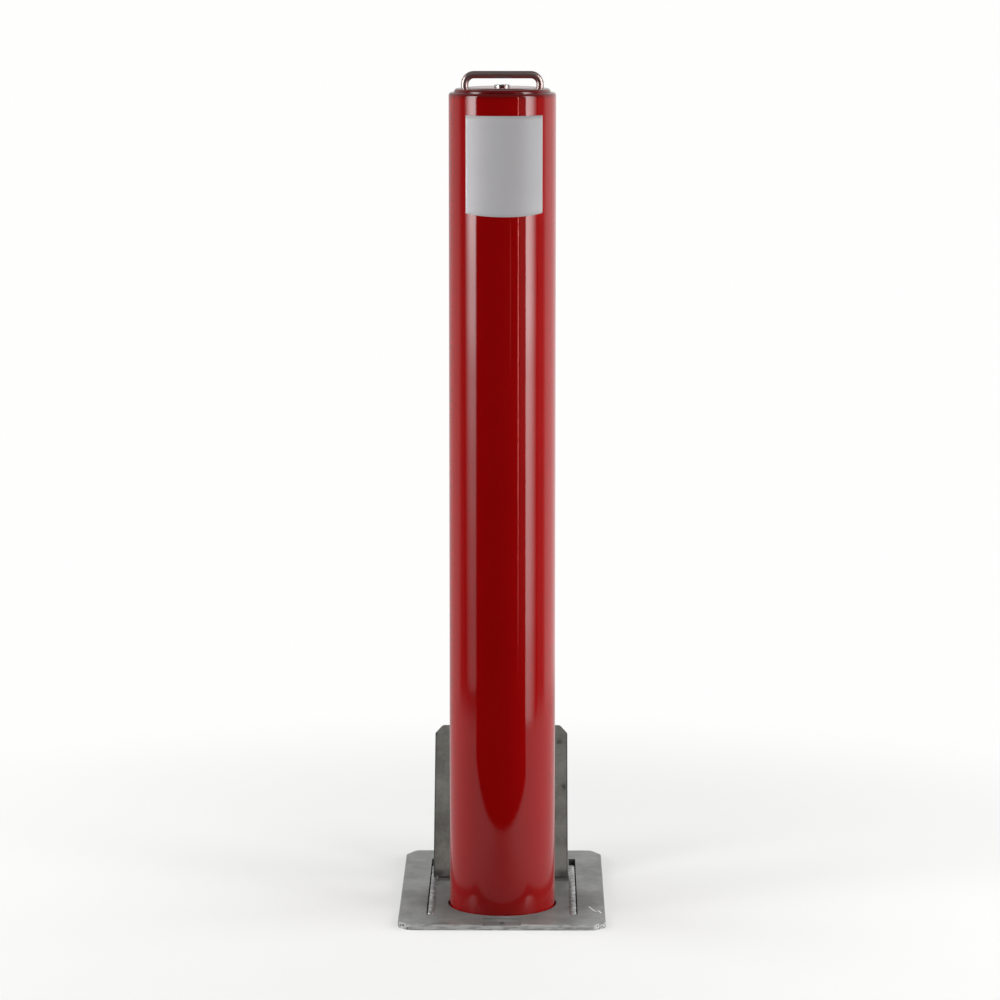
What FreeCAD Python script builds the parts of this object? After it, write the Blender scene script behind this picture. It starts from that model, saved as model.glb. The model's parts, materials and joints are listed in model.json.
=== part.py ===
import FreeCAD, Part
import math
import os
import Sketcher

# Removable parking bollard with its cast-in ground socket, in millimetres.
# The frame has +Z up and +X to the right, and the front is towards -Y. The origin is on the
# post's axis at ground level, which is the underside of the ground plate.
# At rest the post stands in the socket, its lock is turned open, the lifting handle is down and
# the hinged lid stands open behind the post, leaning back on its heel.

SIZES = (
    ("plate_side", 36.25, "ground plate, past the lid on both sides"),
    ("plate_front", 97.0, "from the post's axis to the plate's front edge"),
    ("plate_back", 241.0, "from the post's axis to the plate's back edge"),
    ("plate_thick", 6.0, "ground plate"),
    ("front_corner", 11.5, "both legs of the front corners' cut"),
    ("back_corner_across", 11.0, "back corners' cut, left to right"),
    ("back_corner_along", 20.0, "back corners' cut, front to back"),
    ("corner_round", 8.0, "softening of the plate's cut corners"),
    ("notch_width", 41.0, "thumb recess under the closed lid's free edge"),
    ("notch_reach", 28.0, "thumb recess, back from the front edge"),
    ("notch_depth", 1.2, "thumb recess"),
    ("drain_bore", 7.0, "small hole in the thumb recess"),
    ("drain_back", 13.0, "small hole, back from the front edge"),
    ("post_diameter", 114.3, "standard tube"),
    ("post_wall", 5.0, "standard tube"),
    ("post_height", 882.4, "tube above the ground plate"),
    ("post_depth", 300.0, "tube below ground"),
    ("post_edge", 3.5, "rounding of the tube's top edge"),
    ("post_gap", 1.85, "all round the post in the ground plate"),
    ("socket_gap", 2.35, "all round the post in the socket tube"),
    ("socket_wall", 4.0, "socket tube"),
    ("keeper_thick", 8.0, "plate that the post stands on"),
    ("keeper_slot_long", 54.0, "slot that the latch bar passes"),
    ("keeper_slot_wide", 22.0, "slot that the latch bar passes"),
    ("sump_depth", 24.0, "room below the keeper plate"),
    ("foot_size", 150.0, "square foot plate of the socket"),
    ("foot_thick", 6.0, "square foot plate of the socket"),
    ("foot_drain", 20.0, "drain hole in the foot plate"),
    ("slot_in", 1.25, "inner sides of the side slots, in from the lid's sides"),
    ("slot_width", 7.6, "side slots"),
    ("slot_front", 52.0, "side slots, ahead of the post's axis"),
    ("slot_back", 200.0, "side slots, behind the post's axis"),
    ("tab_back", 167.0, "end of the cheek's tab in the slot"),
    ("tab_gap", 1.0, "cheek's tab to the ends of its slot"),
    ("tab_sink", 0.8, "top of the cheek's tab below the plate's top"),
    ("cheek_thick", 6.0, "side cheeks"),
    ("cheek_depth", 66.0, "side cheeks below ground"),
    ("cheek_margin", 8.0, "side cheeks past the slots' ends"),
    ("brace_thick", 6.0, "collar plate between cheeks and socket tube"),
    ("brace_half", 70.0, "collar plate, front and back of the axis"),
    ("bead_overlap", 1.9, "weld bead on the plate beside the slot"),
    ("bead_rise", 1.5, "weld bead above the plate"),
    ("lid_width", 150.5, "hinged lid"),
    ("lid_offset", 2.7, "middle of the hinged lid, to the left of the post's axis"),
    ("lid_length", 186.3, "hinged lid, from its pin to its free edge"),
    ("lid_thick", 6.0, "hinged lid"),
    ("lid_corner_across", 8.4, "free corners' cut, left to right"),
    ("lid_corner_along", 10.0, "free corners' cut, along the lid"),
    ("lid_corner_round", 4.0, "softening of the free corners' cut"),
    ("lid_lean", 36.0, "degrees past upright at rest"),
    ("hinge_back", 109.0, "hinge pin behind the post's axis"),
    ("knuckle_diameter", 10.0, "hinge knuckles"),
    ("knuckle_gap", 0.3, "round and between the hinge knuckles"),
    ("knuckle_row", 52.0, "half of the row of knuckles"),
    ("knuckle_outer", 26.0, "each knuckle of the lid"),
    ("pin_diameter", 6.0, "hinge pin"),
    ("pin_gap", 0.08, "all round the hinge pin"),
    ("pin_head", 9.0, "peened ends of the hinge pin"),
    ("pin_head_thick", 2.4, "peened ends of the hinge pin"),
    ("cap_rise", 5.2, "flat of the cap above the tube's rim"),
    ("cap_flat", 73.0, "flat of the cap, across"),
    ("cap_slope", 6.2, "degrees that the cap's border falls"),
    ("cap_groove", 0.9, "groove between cap and tube"),
    ("cap_groove_depth", 3.0, "groove between cap and tube"),
    ("tube_fit", 0.1, "discs welded in a tube"),
    ("cap_shoulder", 3.2, "rounding of the cap's shoulder"),
    ("cap_thick", 13.0, "cap, turned from thick plate"),
    ("rod_diameter", 8.0, "lifting handle"),
    ("handle_span", 80.0, "lifting handle, leg to leg"),
    ("handle_rise", 18.3, "middle of the bar above the tube's rim"),
    ("handle_bend", 10.0, "bends of the lifting handle, on its middle line"),
    ("handle_travel", 48.0, "how far the handle draws up"),
    ("handle_gap", 0.3, "all round the handle's legs and stops"),
    ("stop_across", 13.0, "square nuts on the handle's legs, across their flats"),
    ("stop_height", 6.5, "square nuts on the handle's legs"),
    ("cup_wall", 1.7, "guide cups round the handle's legs"),
    ("cup_floor", 3.0, "guide cups round the handle's legs"),
    ("lock_flange", 17.8, "lock's flange on the cap"),
    ("lock_flange_rise", 2.6, "lock's flange on the cap"),
    ("lock_flange_bevel", 1.1, "bevel of the lock's flange"),
    ("lock_body_diameter", 14.0, "lock's barrel through the cap"),
    ("lock_body_length", 42.0, "lock's barrel below the cap's top"),
    ("lock_nut_across", 22.0, "lock's nut, across its flats"),
    ("lock_nut_thick", 5.0, "lock's nut"),
    ("plug_diameter", 10.0, "turning plug of the lock"),
    ("plug_tail", 14.0, "square tail below the lock's barrel"),
    ("plug_tail_across", 6.0, "square tail, across its flats"),
    ("key_long", 7.4, "keyway"),
    ("key_wide", 1.7, "keyway"),
    ("key_deep", 22.0, "keyway"),
    ("turn_gap", 0.08, "all round the turning pieces"),
    ("coupling_across", 18.0, "square sleeve from the lock's tail to the long rod"),
    ("coupling_length", 34.0, "square sleeve from the lock's tail to the long rod"),
    ("rod_across", 10.0, "long square rod from lock to latch"),
    ("guide_gap", 0.3, "round the long rod's corners in its guides"),
    ("guide_thick", 5.0, "guide bars across the post"),
    ("guide_wide", 40.0, "guide bars across the post"),
    ("upper_guide_height", 590.0, "above ground"),
    ("lower_guide_height", 150.0, "above ground"),
    ("post_foot_thick", 6.0, "disc that closes the post's foot"),
    ("collar_across", 22.0, "square collar that carries the long rod"),
    ("collar_height", 10.0, "square collar that carries the long rod"),
    ("latch_long", 48.0, "latch bar"),
    ("latch_wide", 16.0, "latch bar"),
    ("latch_thick", 8.0, "latch bar"),
    ("latch_corner", 5.0, "both legs of the latch bar's cut corners"),
    ("latch_gap", 2.0, "latch bar below the keeper plate"),
    ("cross_pin_diameter", 4.0, "roll pins through the long rod"),
    ("seat_gap", 0.3, "between a piece and the face that it rests on"),
)

DECIMALS = 3
FULL_TURN = 360.0

doc = FreeCAD.newDocument("bollard")
dims = doc.addObject("Spreadsheet::Sheet", "dims")
for row, (alias, number, note) in enumerate(SIZES, start=1):
    dims.set(f"A{row}", note)
    dims.set(f"B{row}", str(number))
    dims.setAlias(f"B{row}", alias)
doc.recompute()

# Places that more than one piece shares, as expressions on the sheet.
PLATE_TOP = "dims.plate_thick"
RIM = "(dims.plate_thick + dims.post_height)"
POST_RADIUS = "(dims.post_diameter / 2)"
POST_BORE = f"({POST_RADIUS} - dims.post_wall)"
POST_FOOT = "(-dims.post_depth)"
KEEPER_TOP = f"({POST_FOOT} - dims.seat_gap)"
KEEPER_UNDER = f"({KEEPER_TOP} - dims.keeper_thick)"
SOCKET_BORE = f"({POST_RADIUS} + dims.socket_gap)"
SOCKET_RADIUS = f"({SOCKET_BORE} + dims.socket_wall)"
SOCKET_FOOT = f"({KEEPER_UNDER} - dims.sump_depth)"
PIN_UP = "(dims.plate_thick + dims.bead_rise)"
KNUCKLE_RADIUS = "(dims.knuckle_diameter / 2)"
HINGE_SIDE = "(dims.knuckle_row + dims.pin_head_thick + 2 * dims.knuckle_gap)"
SLOT_INNER = "(dims.lid_width / 2 - dims.slot_in)"
CAP_TOP = f"({RIM} + dims.cap_rise)"
CAP_UNDER = f"({CAP_TOP} - dims.cap_thick)"
DISC_RADIUS = f"({POST_BORE} - dims.tube_fit)"
BAR_UP = f"({RIM} + dims.handle_rise)"
LEG_SIDE = "(dims.handle_span / 2)"
STOP_TOP = f"({CAP_UNDER} - dims.handle_travel - dims.seat_gap)"
STOP_FOOT = f"({STOP_TOP} - dims.stop_height)"
CUP_INSIDE = "(dims.stop_across + 2 * dims.handle_gap)"
LOCK_FOOT = f"({CAP_TOP} - dims.lock_body_length)"
TAIL_FOOT = f"({LOCK_FOOT} - dims.plug_tail)"
COUPLING_TOP = f"({LOCK_FOOT} - dims.seat_gap)"
COUPLING_FOOT = f"({COUPLING_TOP} - dims.coupling_length)"
ROD_TOP = f"({TAIL_FOOT} - dims.seat_gap)"
ROD_HOLE = "(dims.rod_across + 2 * dims.turn_gap)"
ROD_BORE = "(dims.rod_across / 2 / cos(45) + dims.guide_gap)"
FOOT_DISC_TOP = f"({POST_FOOT} + dims.post_foot_thick)"
LATCH_TOP = f"({KEEPER_UNDER} - dims.latch_gap)"
LATCH_FOOT = f"({LATCH_TOP} - dims.latch_thick)"

parts = {}


def value(expression):
    """Number that an expression on the sheet gives now."""
    return float(dims.evalExpression(expression))


def keep(name, item):
    """Register a finished piece under the name of its file."""
    item.Label = name
    parts[name] = item
    return item


def new_body(name):
    """Start a body for one piece."""
    return doc.addObject("PartDesign::Body", f"{name}_body")


def origin_feature(body, role):
    """Find one of a body's own origin planes or axes."""
    return next(item for item in body.Origin.OriginFeatures if item.Role == role)


def sketch_on(body, role, offset="0"):
    """Open a sketch on one of the body's origin planes, moved along its normal."""
    sketch = body.newObject("Sketcher::SketchObject", f"{body.Name}_sketch")
    sketch.AttachmentSupport = [(origin_feature(body, role), "")]
    sketch.MapMode = "FlatFace"
    sketch.setExpression("AttachmentOffset.Base.z", offset)
    return sketch


def pin_point(sketch, geometry, point, across, up):
    """Hold one point of a sketch at two expressions from the sketch's origin."""
    for kind, expression in (("DistanceX", across), ("DistanceY", up)):
        rule = Sketcher.Constraint(kind, -1, 1, geometry, point, value(expression))
        index = sketch.addConstraint(rule)
        sketch.setExpression(f"Constraints[{index}]", expression)


def spot(across, up):
    """Sketch point at the present value of two expressions."""
    return FreeCAD.Vector(value(across), value(up), 0)


def outline(sketch, corners):
    """Draw a closed outline of straight lines through corners given as pairs of expressions."""
    first = sketch.GeometryCount
    count = len(corners)
    spots = [spot(*corner) for corner in corners]
    for index in range(count):
        sketch.addGeometry(Part.LineSegment(spots[index], spots[(index + 1) % count]), False)
    for index, corner in enumerate(corners):
        follower = first + (index + 1) % count
        sketch.addConstraint(Sketcher.Constraint("Coincident", first + index, 2, follower, 1))
        pin_point(sketch, first + index, 1, *corner)


def rectangle(sketch, left, right, low, high):
    """Draw a rectangle between four expressions."""
    outline(sketch, ((left, low), (right, low), (right, high), (left, high)))


def circle(sketch, radius, across="0", up="0"):
    """Draw a circle whose radius and centre are expressions."""
    normal = FreeCAD.Vector(0, 0, 1)
    index = sketch.addGeometry(Part.Circle(spot(across, up), normal, value(radius)), False)
    rule = sketch.addConstraint(Sketcher.Constraint("Radius", index, value(radius)))
    sketch.setExpression(f"Constraints[{rule}]", radius)
    pin_point(sketch, index, 3, across, up)


def square(sketch, across, middle="0"):
    """Draw a square about a point on the sketch's first axis."""
    half = f"({across}) / 2"
    rectangle(sketch, f"{middle} - {half}", f"{middle} + {half}", f"-{half}", half)


def pad(body, sketch, length, reverse=False):
    """Add the sketch's area, carried along its normal."""
    feature = body.newObject("PartDesign::Pad", f"{body.Name}_pad")
    feature.Profile = sketch
    feature.setExpression("Length", length)
    feature.Reversed = reverse
    return feature


def pocket(body, sketch, length, both_ways=False):
    """Cut the sketch's area against its normal, and make sure that it cuts."""
    doc.recompute()
    before = body.Shape.Volume
    feature = body.newObject("PartDesign::Pocket", f"{body.Name}_pocket")
    feature.Profile = sketch
    feature.setExpression("Length", length)
    if both_ways:
        feature.SideType = "Symmetric"
    doc.recompute()
    if not body.Shape.Volume < before:
        raise RuntimeError(f"{feature.Name} cuts nothing")
    return feature


def revolve(body, sketch):
    """Turn the sketch's area about its upright axis."""
    feature = body.newObject("PartDesign::Revolution", f"{body.Name}_turned")
    feature.Profile = sketch
    feature.ReferenceAxis = (sketch, ["V_Axis"])
    feature.Angle = FULL_TURN
    return feature


def dress(body, kind, size_name, size, test):
    """Fillet or chamfer the edges of the body that pass a test."""
    doc.recompute()
    base = body.Tip
    edges = [f"Edge{n}" for n, edge in enumerate(base.Shape.Edges, start=1) if test(edge)]
    feature = body.newObject(f"PartDesign::{kind}", f"{body.Name}_{kind.lower()}")
    feature.Base = (base, edges)
    feature.setExpression(size_name, size)
    return feature


def round_over(body, radius, test):
    """Fillet the edges of the body that pass a test."""
    return dress(body, "Fillet", "Radius", radius, test)


def runs_along(axis, test=lambda centre: True):
    """Test for a straight edge along an axis whose middle passes a further test."""
    def whole_test(edge):
        if not isinstance(edge.Curve, Part.Line):
            return False
        along = edge.tangentAt(edge.FirstParameter).cross(axis).Length < 10 ** -DECIMALS
        return along and test(edge.CenterOfMass)
    return whole_test


ALONG_X = FreeCAD.Vector(1, 0, 0)
ALONG_Y = FreeCAD.Vector(0, 1, 0)
ALONG_Z = FreeCAD.Vector(0, 0, 1)
TURNED_TO = {
    "X": FreeCAD.Rotation(ALONG_Z, ALONG_X),
    "Y": FreeCAD.Rotation(ALONG_Z, ALONG_Y),
    "Z": FreeCAD.Rotation(),
}


def place(item, across="0", along="0", up="0", axis="Z"):
    """Turn a primitive to an axis and bind its base point to three expressions."""
    item.Placement = FreeCAD.Placement(FreeCAD.Vector(), TURNED_TO[axis])
    item.setExpression("Placement.Base.x", across)
    item.setExpression("Placement.Base.y", along)
    item.setExpression("Placement.Base.z", up)
    return item


def cylinder(name, radius, height, axis="Z", **base):
    """Solid cylinder from its base point along an axis."""
    item = doc.addObject("Part::Cylinder", name)
    item.setExpression("Radius", radius)
    item.setExpression("Height", height)
    return place(item, axis=axis, **base)


def block(name, length, width, height, **base):
    """Solid box from its lowest corner."""
    item = doc.addObject("Part::Box", name)
    item.setExpression("Length", length)
    item.setExpression("Width", width)
    item.setExpression("Height", height)
    return place(item, **base)


def cut(name, base, tool):
    """Base less tool."""
    item = doc.addObject("Part::Cut", name)
    item.Base = base
    item.Tool = tool
    return item


def group(name, items):
    """Several separate solids as one node."""
    item = doc.addObject("Part::Compound", name)
    item.Links = items
    return item


def ring(name, radius, bore, height, axis="Z", **base):
    """Tube or washer along an axis from its base point."""
    outer = cylinder(f"{name}_outer", radius, height, axis, **base)
    inner = cylinder(f"{name}_inner", bore, height, axis, **base)
    return cut(name, outer, inner)


def disc_in_tube(name, radius, thick, up, bore):
    """Flat disc across a tube, with a bore on the axis, as a body and ready for more cuts."""
    body = new_body(name)
    sketch = sketch_on(body, "XY_Plane", up)
    circle(sketch, radius)
    if bore:
        circle(sketch, bore)
    pad(body, sketch, thick)
    return body


# Ground plate and socket


def cut_corner_outline(half, front, back, front_cut, back_cut):
    """Outline of a plate whose four corners are cut, as pairs of expressions."""
    front_across, front_along = front_cut
    back_across, back_along = back_cut
    right = (
        (f"{half} - {front_across}", f"-{front}"),
        (half, f"-{front} + {front_along}"),
        (half, f"{back} - {back_along}"),
        (f"{half} - {back_across}", back),
    )
    left = tuple((f"-({across})", along) for across, along in reversed(right))
    return right + left


def make_ground_plate():
    """Flame-cut plate with the post's hole, two side slots, the hinge slot and the recess."""
    body = new_body("ground_plate")
    sketch = sketch_on(body, "XY_Plane")
    outline(sketch, cut_corner_outline(
        "(dims.lid_width / 2 + dims.plate_side)", "dims.plate_front", "dims.plate_back",
        ("dims.front_corner", "dims.front_corner"),
        ("dims.back_corner_across", "dims.back_corner_along")))
    pad(body, sketch, "dims.plate_thick")
    round_over(body, "dims.corner_round", runs_along(ALONG_Z))

    holes = sketch_on(body, "XY_Plane", PLATE_TOP)
    circle(holes, f"{POST_RADIUS} + dims.post_gap")
    outer = f"({SLOT_INNER} + dims.slot_width)"
    rectangle(holes, SLOT_INNER, outer, "-dims.slot_front", "dims.slot_back")
    rectangle(holes, f"-{outer}", f"-{SLOT_INNER}", "-dims.slot_front", "dims.slot_back")
    reach = f"({KNUCKLE_RADIUS} + dims.knuckle_gap)"
    rectangle(holes, f"-{HINGE_SIDE}", HINGE_SIDE,
              f"dims.hinge_back - {reach}", f"dims.hinge_back + {reach}")
    pocket(body, holes, "dims.plate_thick")

    recess = sketch_on(body, "XY_Plane", PLATE_TOP)
    rectangle(recess, "-dims.notch_width / 2", "dims.notch_width / 2",
              "-dims.plate_front", "-dims.plate_front + dims.notch_reach")
    pocket(body, recess, "dims.notch_depth")

    drain = sketch_on(body, "XY_Plane", PLATE_TOP)
    circle(drain, "dims.drain_bore / 2", "0", "-dims.plate_front + dims.drain_back")
    pocket(body, drain, "dims.plate_thick")
    return body


def make_socket_tube():
    """Tube welded under the ground plate, which the post's foot slides into."""
    return ring("socket_tube_ring", SOCKET_RADIUS, SOCKET_BORE, f"-{SOCKET_FOOT}", up=SOCKET_FOOT)


def make_keeper_plate():
    """Disc across the socket that the post stands on, slotted for the latch bar."""
    body = disc_in_tube("keeper_plate", f"{SOCKET_BORE} - dims.tube_fit", "dims.keeper_thick",
                        KEEPER_UNDER, "")
    slot = sketch_on(body, "XY_Plane", KEEPER_TOP)
    rectangle(slot, "-dims.keeper_slot_long / 2", "dims.keeper_slot_long / 2",
              "-dims.keeper_slot_wide / 2", "dims.keeper_slot_wide / 2")
    pocket(body, slot, "dims.keeper_thick")
    return body


def make_socket_foot():
    """Square plate that closes the socket, with a drain hole in its middle."""
    base_up = f"{SOCKET_FOOT} - dims.foot_thick"
    half = "-dims.foot_size / 2"
    plate = block("socket_foot_block", "dims.foot_size", "dims.foot_size", "dims.foot_thick",
                  across=half, along=half, up=base_up)
    drain = cylinder("socket_foot_drain", "dims.foot_drain / 2", "dims.foot_thick", up=base_up)
    return cut("socket_foot_cut", plate, drain)


def cheek_outline():
    """Side view of a cheek, whose tab stands up in the plate's slot."""
    front = "-dims.slot_front"
    low = "-dims.cheek_depth"
    tab_top = f"{PLATE_TOP} - dims.tab_sink"
    return (
        (f"{front} - dims.cheek_margin", low),
        ("dims.slot_back + dims.cheek_margin - dims.cheek_depth / 2", low),
        ("dims.slot_back + dims.cheek_margin", "-dims.cheek_depth / 2"),
        ("dims.slot_back + dims.cheek_margin", "0"),
        ("dims.tab_back", "0"),
        ("dims.tab_back", tab_top),
        (f"{front} + dims.tab_gap", tab_top),
        (f"{front} + dims.tab_gap", "0"),
        (f"{front} - dims.cheek_margin", "0"),
    )


def side_start(sign, inner, thick):
    """Lowest X of a slab that lies between inner and inner plus thick on one side."""
    return f"({inner})" if sign > 0 else f"(-({inner}) - {thick})"


def make_cheek(name, sign):
    """Upright side plate below ground, tabbed through the ground plate."""
    body = new_body(name)
    inner = f"{SLOT_INNER} + dims.seat_gap"
    sketch = sketch_on(body, "YZ_Plane", side_start(sign, inner, "dims.cheek_thick"))
    outline(sketch, cheek_outline())
    pad(body, sketch, "dims.cheek_thick")
    return body


def make_brace():
    """Collar plate that ties both cheeks to the socket tube."""
    inner = f"({SLOT_INNER} + dims.seat_gap)"
    body = new_body("brace_plate")
    sketch = sketch_on(body, "XY_Plane", "-dims.cheek_depth")
    rectangle(sketch, f"-{inner}", inner, "-dims.brace_half", "dims.brace_half")
    circle(sketch, f"{SOCKET_RADIUS} + dims.seat_gap")
    pad(body, sketch, "dims.brace_thick")
    return body


def make_bead(name, sign):
    """Weld along the slot, over the cheek's tab and the plate's edge beside it."""
    def side(across):
        return f"{across}" if sign > 0 else f"-({across})"
    inner = f"{SLOT_INNER} - dims.bead_overlap"
    outer = f"{SLOT_INNER} + dims.seat_gap + dims.cheek_thick"
    tab_top = f"{PLATE_TOP} - dims.tab_sink"
    third = f"(({outer}) - ({inner})) / 3"
    crest = f"{PLATE_TOP} + dims.bead_rise"
    low_crest = f"{PLATE_TOP} + dims.bead_rise * 2 / 3"
    body = new_body(name)
    sketch = sketch_on(body, "XZ_Plane", f"dims.slot_front - dims.tab_gap")
    outline(sketch, (
        (side(inner), PLATE_TOP),
        (side(SLOT_INNER), PLATE_TOP),
        (side(SLOT_INNER), tab_top),
        (side(outer), tab_top),
        (side(f"{outer} - {third} / 2"), low_crest),
        (side(f"{outer} - {third}"), crest),
        (side(f"{inner} + {third}"), crest),
        (side(f"{inner} + {third} / 3"), low_crest),
    ))
    pad(body, sketch, "dims.slot_front - dims.tab_gap + dims.tab_back", reverse=True)
    return body


# Lid and its hinge


LID_TOE = "(dims.seat_gap / cos(dims.lid_lean))"
LID_HEEL = f"({LID_TOE} + dims.lid_thick * tan(dims.lid_lean))"


def lean_back(item):
    """Stand a piece that is drawn upright about its pin on the hinge, leaning back."""
    item.Placement = FreeCAD.Placement(FreeCAD.Vector(), FreeCAD.Rotation(ALONG_X, -1))
    item.setExpression("Placement.Base.y", "dims.hinge_back")
    item.setExpression("Placement.Base.z", PIN_UP)
    item.setExpression("Placement.Rotation.Angle", "-dims.lid_lean")
    return item


def make_lid_plate():
    """Flat lid, drawn upright with its pin at the origin and its underside to the front.

    Its foot is cut level for the open position, where it lies on the weld beads.
    """
    left = "(-dims.lid_width / 2 - dims.lid_offset)"
    right = "(dims.lid_width / 2 - dims.lid_offset)"
    shoulder = "dims.lid_length - dims.lid_corner_along"
    body = new_body("lid_plate")
    sketch = sketch_on(body, "XZ_Plane")
    outline(sketch, (
        (right, LID_TOE),
        (right, shoulder),
        (f"{right} - dims.lid_corner_across", "dims.lid_length"),
        (f"{left} + dims.lid_corner_across", "dims.lid_length"),
        (left, shoulder),
        (left, LID_TOE),
    ))
    pad(body, sketch, "dims.lid_thick", reverse=True)
    middle = value("dims.lid_length / 2")
    round_over(body, "dims.lid_corner_round",
               runs_along(ALONG_Y, lambda centre: centre.z > middle))

    foot = sketch_on(body, "YZ_Plane")
    below = f"({LID_TOE} - dims.lid_thick)"
    outline(foot, (("0", LID_TOE), ("0", below), ("dims.lid_thick", below),
                   ("dims.lid_thick", LID_HEEL)))
    pocket(body, foot, "dims.lid_width * 2", both_ways=True)

    cove = sketch_on(body, "YZ_Plane")
    circle(cove, f"{KNUCKLE_RADIUS} + dims.knuckle_gap")
    pocket(body, cove, f"2 * {HINGE_SIDE}", both_ways=True)
    return lean_back(body)


def knuckle(name, start, length):
    """One tube of the hinge, along the pin."""
    bore = "dims.pin_diameter / 2 + dims.pin_gap"
    return ring(name, KNUCKLE_RADIUS, bore, length, "X",
                across=start, along="dims.hinge_back", up=PIN_UP)


def make_lid_knuckles():
    """Two tubes welded to the lid's foot."""
    return group("lid_knuckle_row", [
        knuckle("lid_knuckle_left", "-dims.knuckle_row", "dims.knuckle_outer"),
        knuckle("lid_knuckle_right", "dims.knuckle_row - dims.knuckle_outer",
                "dims.knuckle_outer"),
    ])


def make_plate_knuckle():
    """Long tube welded in the ground plate's hinge slot, between those of the lid."""
    half = "(dims.knuckle_row - dims.knuckle_outer - dims.knuckle_gap)"
    return knuckle("plate_knuckle_ring", f"-{half}", f"2 * {half}")


def make_hinge_pin():
    """Round pin with both ends peened over."""
    end = "(dims.knuckle_row + dims.knuckle_gap)"
    body = new_body("hinge_pin")
    sketch = sketch_on(body, "XZ_Plane")
    outline(sketch, (
        ("0", f"-{end} - dims.pin_head_thick"),
        ("dims.pin_head / 2", f"-{end} - dims.pin_head_thick"),
        ("dims.pin_head / 2", f"-{end}"),
        ("dims.pin_diameter / 2", f"-{end}"),
        ("dims.pin_diameter / 2", end),
        ("dims.pin_head / 2", end),
        ("dims.pin_head / 2", f"{end} + dims.pin_head_thick"),
        ("0", f"{end} + dims.pin_head_thick"),
    ))
    revolve(body, sketch)
    return place(body, along="dims.hinge_back", up=PIN_UP, axis="X")


# Post


def make_post_tube():
    """Steel tube with its top edge eased by two bevels whose corners lie on one round."""
    turn_in = f"({POST_RADIUS} - dims.post_edge)"
    turn_up = f"({RIM} - dims.post_edge)"
    body = new_body("post_tube")
    sketch = sketch_on(body, "XZ_Plane")
    outline(sketch, (
        (POST_BORE, POST_FOOT),
        (POST_RADIUS, POST_FOOT),
        (POST_RADIUS, turn_up),
        (f"{turn_in} + dims.post_edge * cos(45)", f"{turn_up} + dims.post_edge * sin(45)"),
        (turn_in, RIM),
        (POST_BORE, RIM),
    ))
    revolve(body, sketch)
    return body


def make_top_cap():
    """Turned cap: a flat middle, a border that falls off, a turned-down shoulder and a seat."""
    head = f"({POST_BORE} - dims.cap_groove)"
    ledge = f"({RIM} - dims.cap_groove_depth)"
    turn_in = f"({head} - dims.cap_shoulder)"
    border = f"({turn_in} + dims.cap_shoulder * sin(dims.cap_slope))"
    border_up = f"({CAP_TOP} - ({border} - dims.cap_flat / 2) * tan(dims.cap_slope))"
    turn_up = f"({border_up} - dims.cap_shoulder * cos(dims.cap_slope))"
    half_turn = "(45 - dims.cap_slope / 2)"
    body = new_body("top_cap")
    sketch = sketch_on(body, "XZ_Plane")
    outline(sketch, (
        ("0", CAP_UNDER),
        (DISC_RADIUS, CAP_UNDER),
        (DISC_RADIUS, ledge),
        (head, ledge),
        (head, turn_up),
        (f"{turn_in} + dims.cap_shoulder * cos({half_turn})",
         f"{turn_up} + dims.cap_shoulder * sin({half_turn})"),
        (border, border_up),
        ("dims.cap_flat / 2", CAP_TOP),
        ("0", CAP_TOP),
    ))
    revolve(body, sketch)

    holes = sketch_on(body, "XY_Plane", CAP_TOP)
    circle(holes, "dims.lock_body_diameter / 2 + dims.turn_gap")
    leg_hole = "dims.rod_diameter / 2 + dims.handle_gap"
    circle(holes, leg_hole, f"-{LEG_SIDE}")
    circle(holes, leg_hole, LEG_SIDE)
    pocket(body, holes, "dims.cap_thick")
    return body


def make_guide_cup(name, sign):
    """Square tube with a floor, welded under the cap round one leg of the handle."""
    floor_up = f"({STOP_FOOT} - dims.seat_gap)"
    body = new_body(name)
    across = f"{sign} * {LEG_SIDE}"
    outer = sketch_on(body, "XY_Plane", f"{floor_up} - dims.cup_floor")
    square(outer, f"{CUP_INSIDE} + 2 * dims.cup_wall", across)
    pad(body, outer, f"{CAP_UNDER} - {floor_up} + dims.cup_floor")
    inner = sketch_on(body, "XY_Plane", CAP_UNDER)
    square(inner, CUP_INSIDE, across)
    pocket(body, inner, f"{CAP_UNDER} - {floor_up}")
    return body


def make_guide_bar(name, height):
    """Flat bar welded across the tube, ends rounded to its bore, that steadies the long rod."""
    body = disc_in_tube(name, DISC_RADIUS, "dims.guide_thick", height, ROD_BORE)
    sides = sketch_on(body, "XY_Plane", f"{height} + dims.guide_thick")
    edge = "(dims.guide_wide / 2)"
    rectangle(sides, f"-{POST_RADIUS}", POST_RADIUS, edge, POST_RADIUS)
    rectangle(sides, f"-{POST_RADIUS}", POST_RADIUS, f"-{POST_RADIUS}", f"-{edge}")
    pocket(body, sides, "dims.guide_thick")
    return body


def make_post_foot():
    """Disc that closes the tube's foot and carries the long rod's collar."""
    return disc_in_tube("post_foot_disc", DISC_RADIUS, "dims.post_foot_thick", POST_FOOT,
                        ROD_BORE)


# Lifting handle


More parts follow.
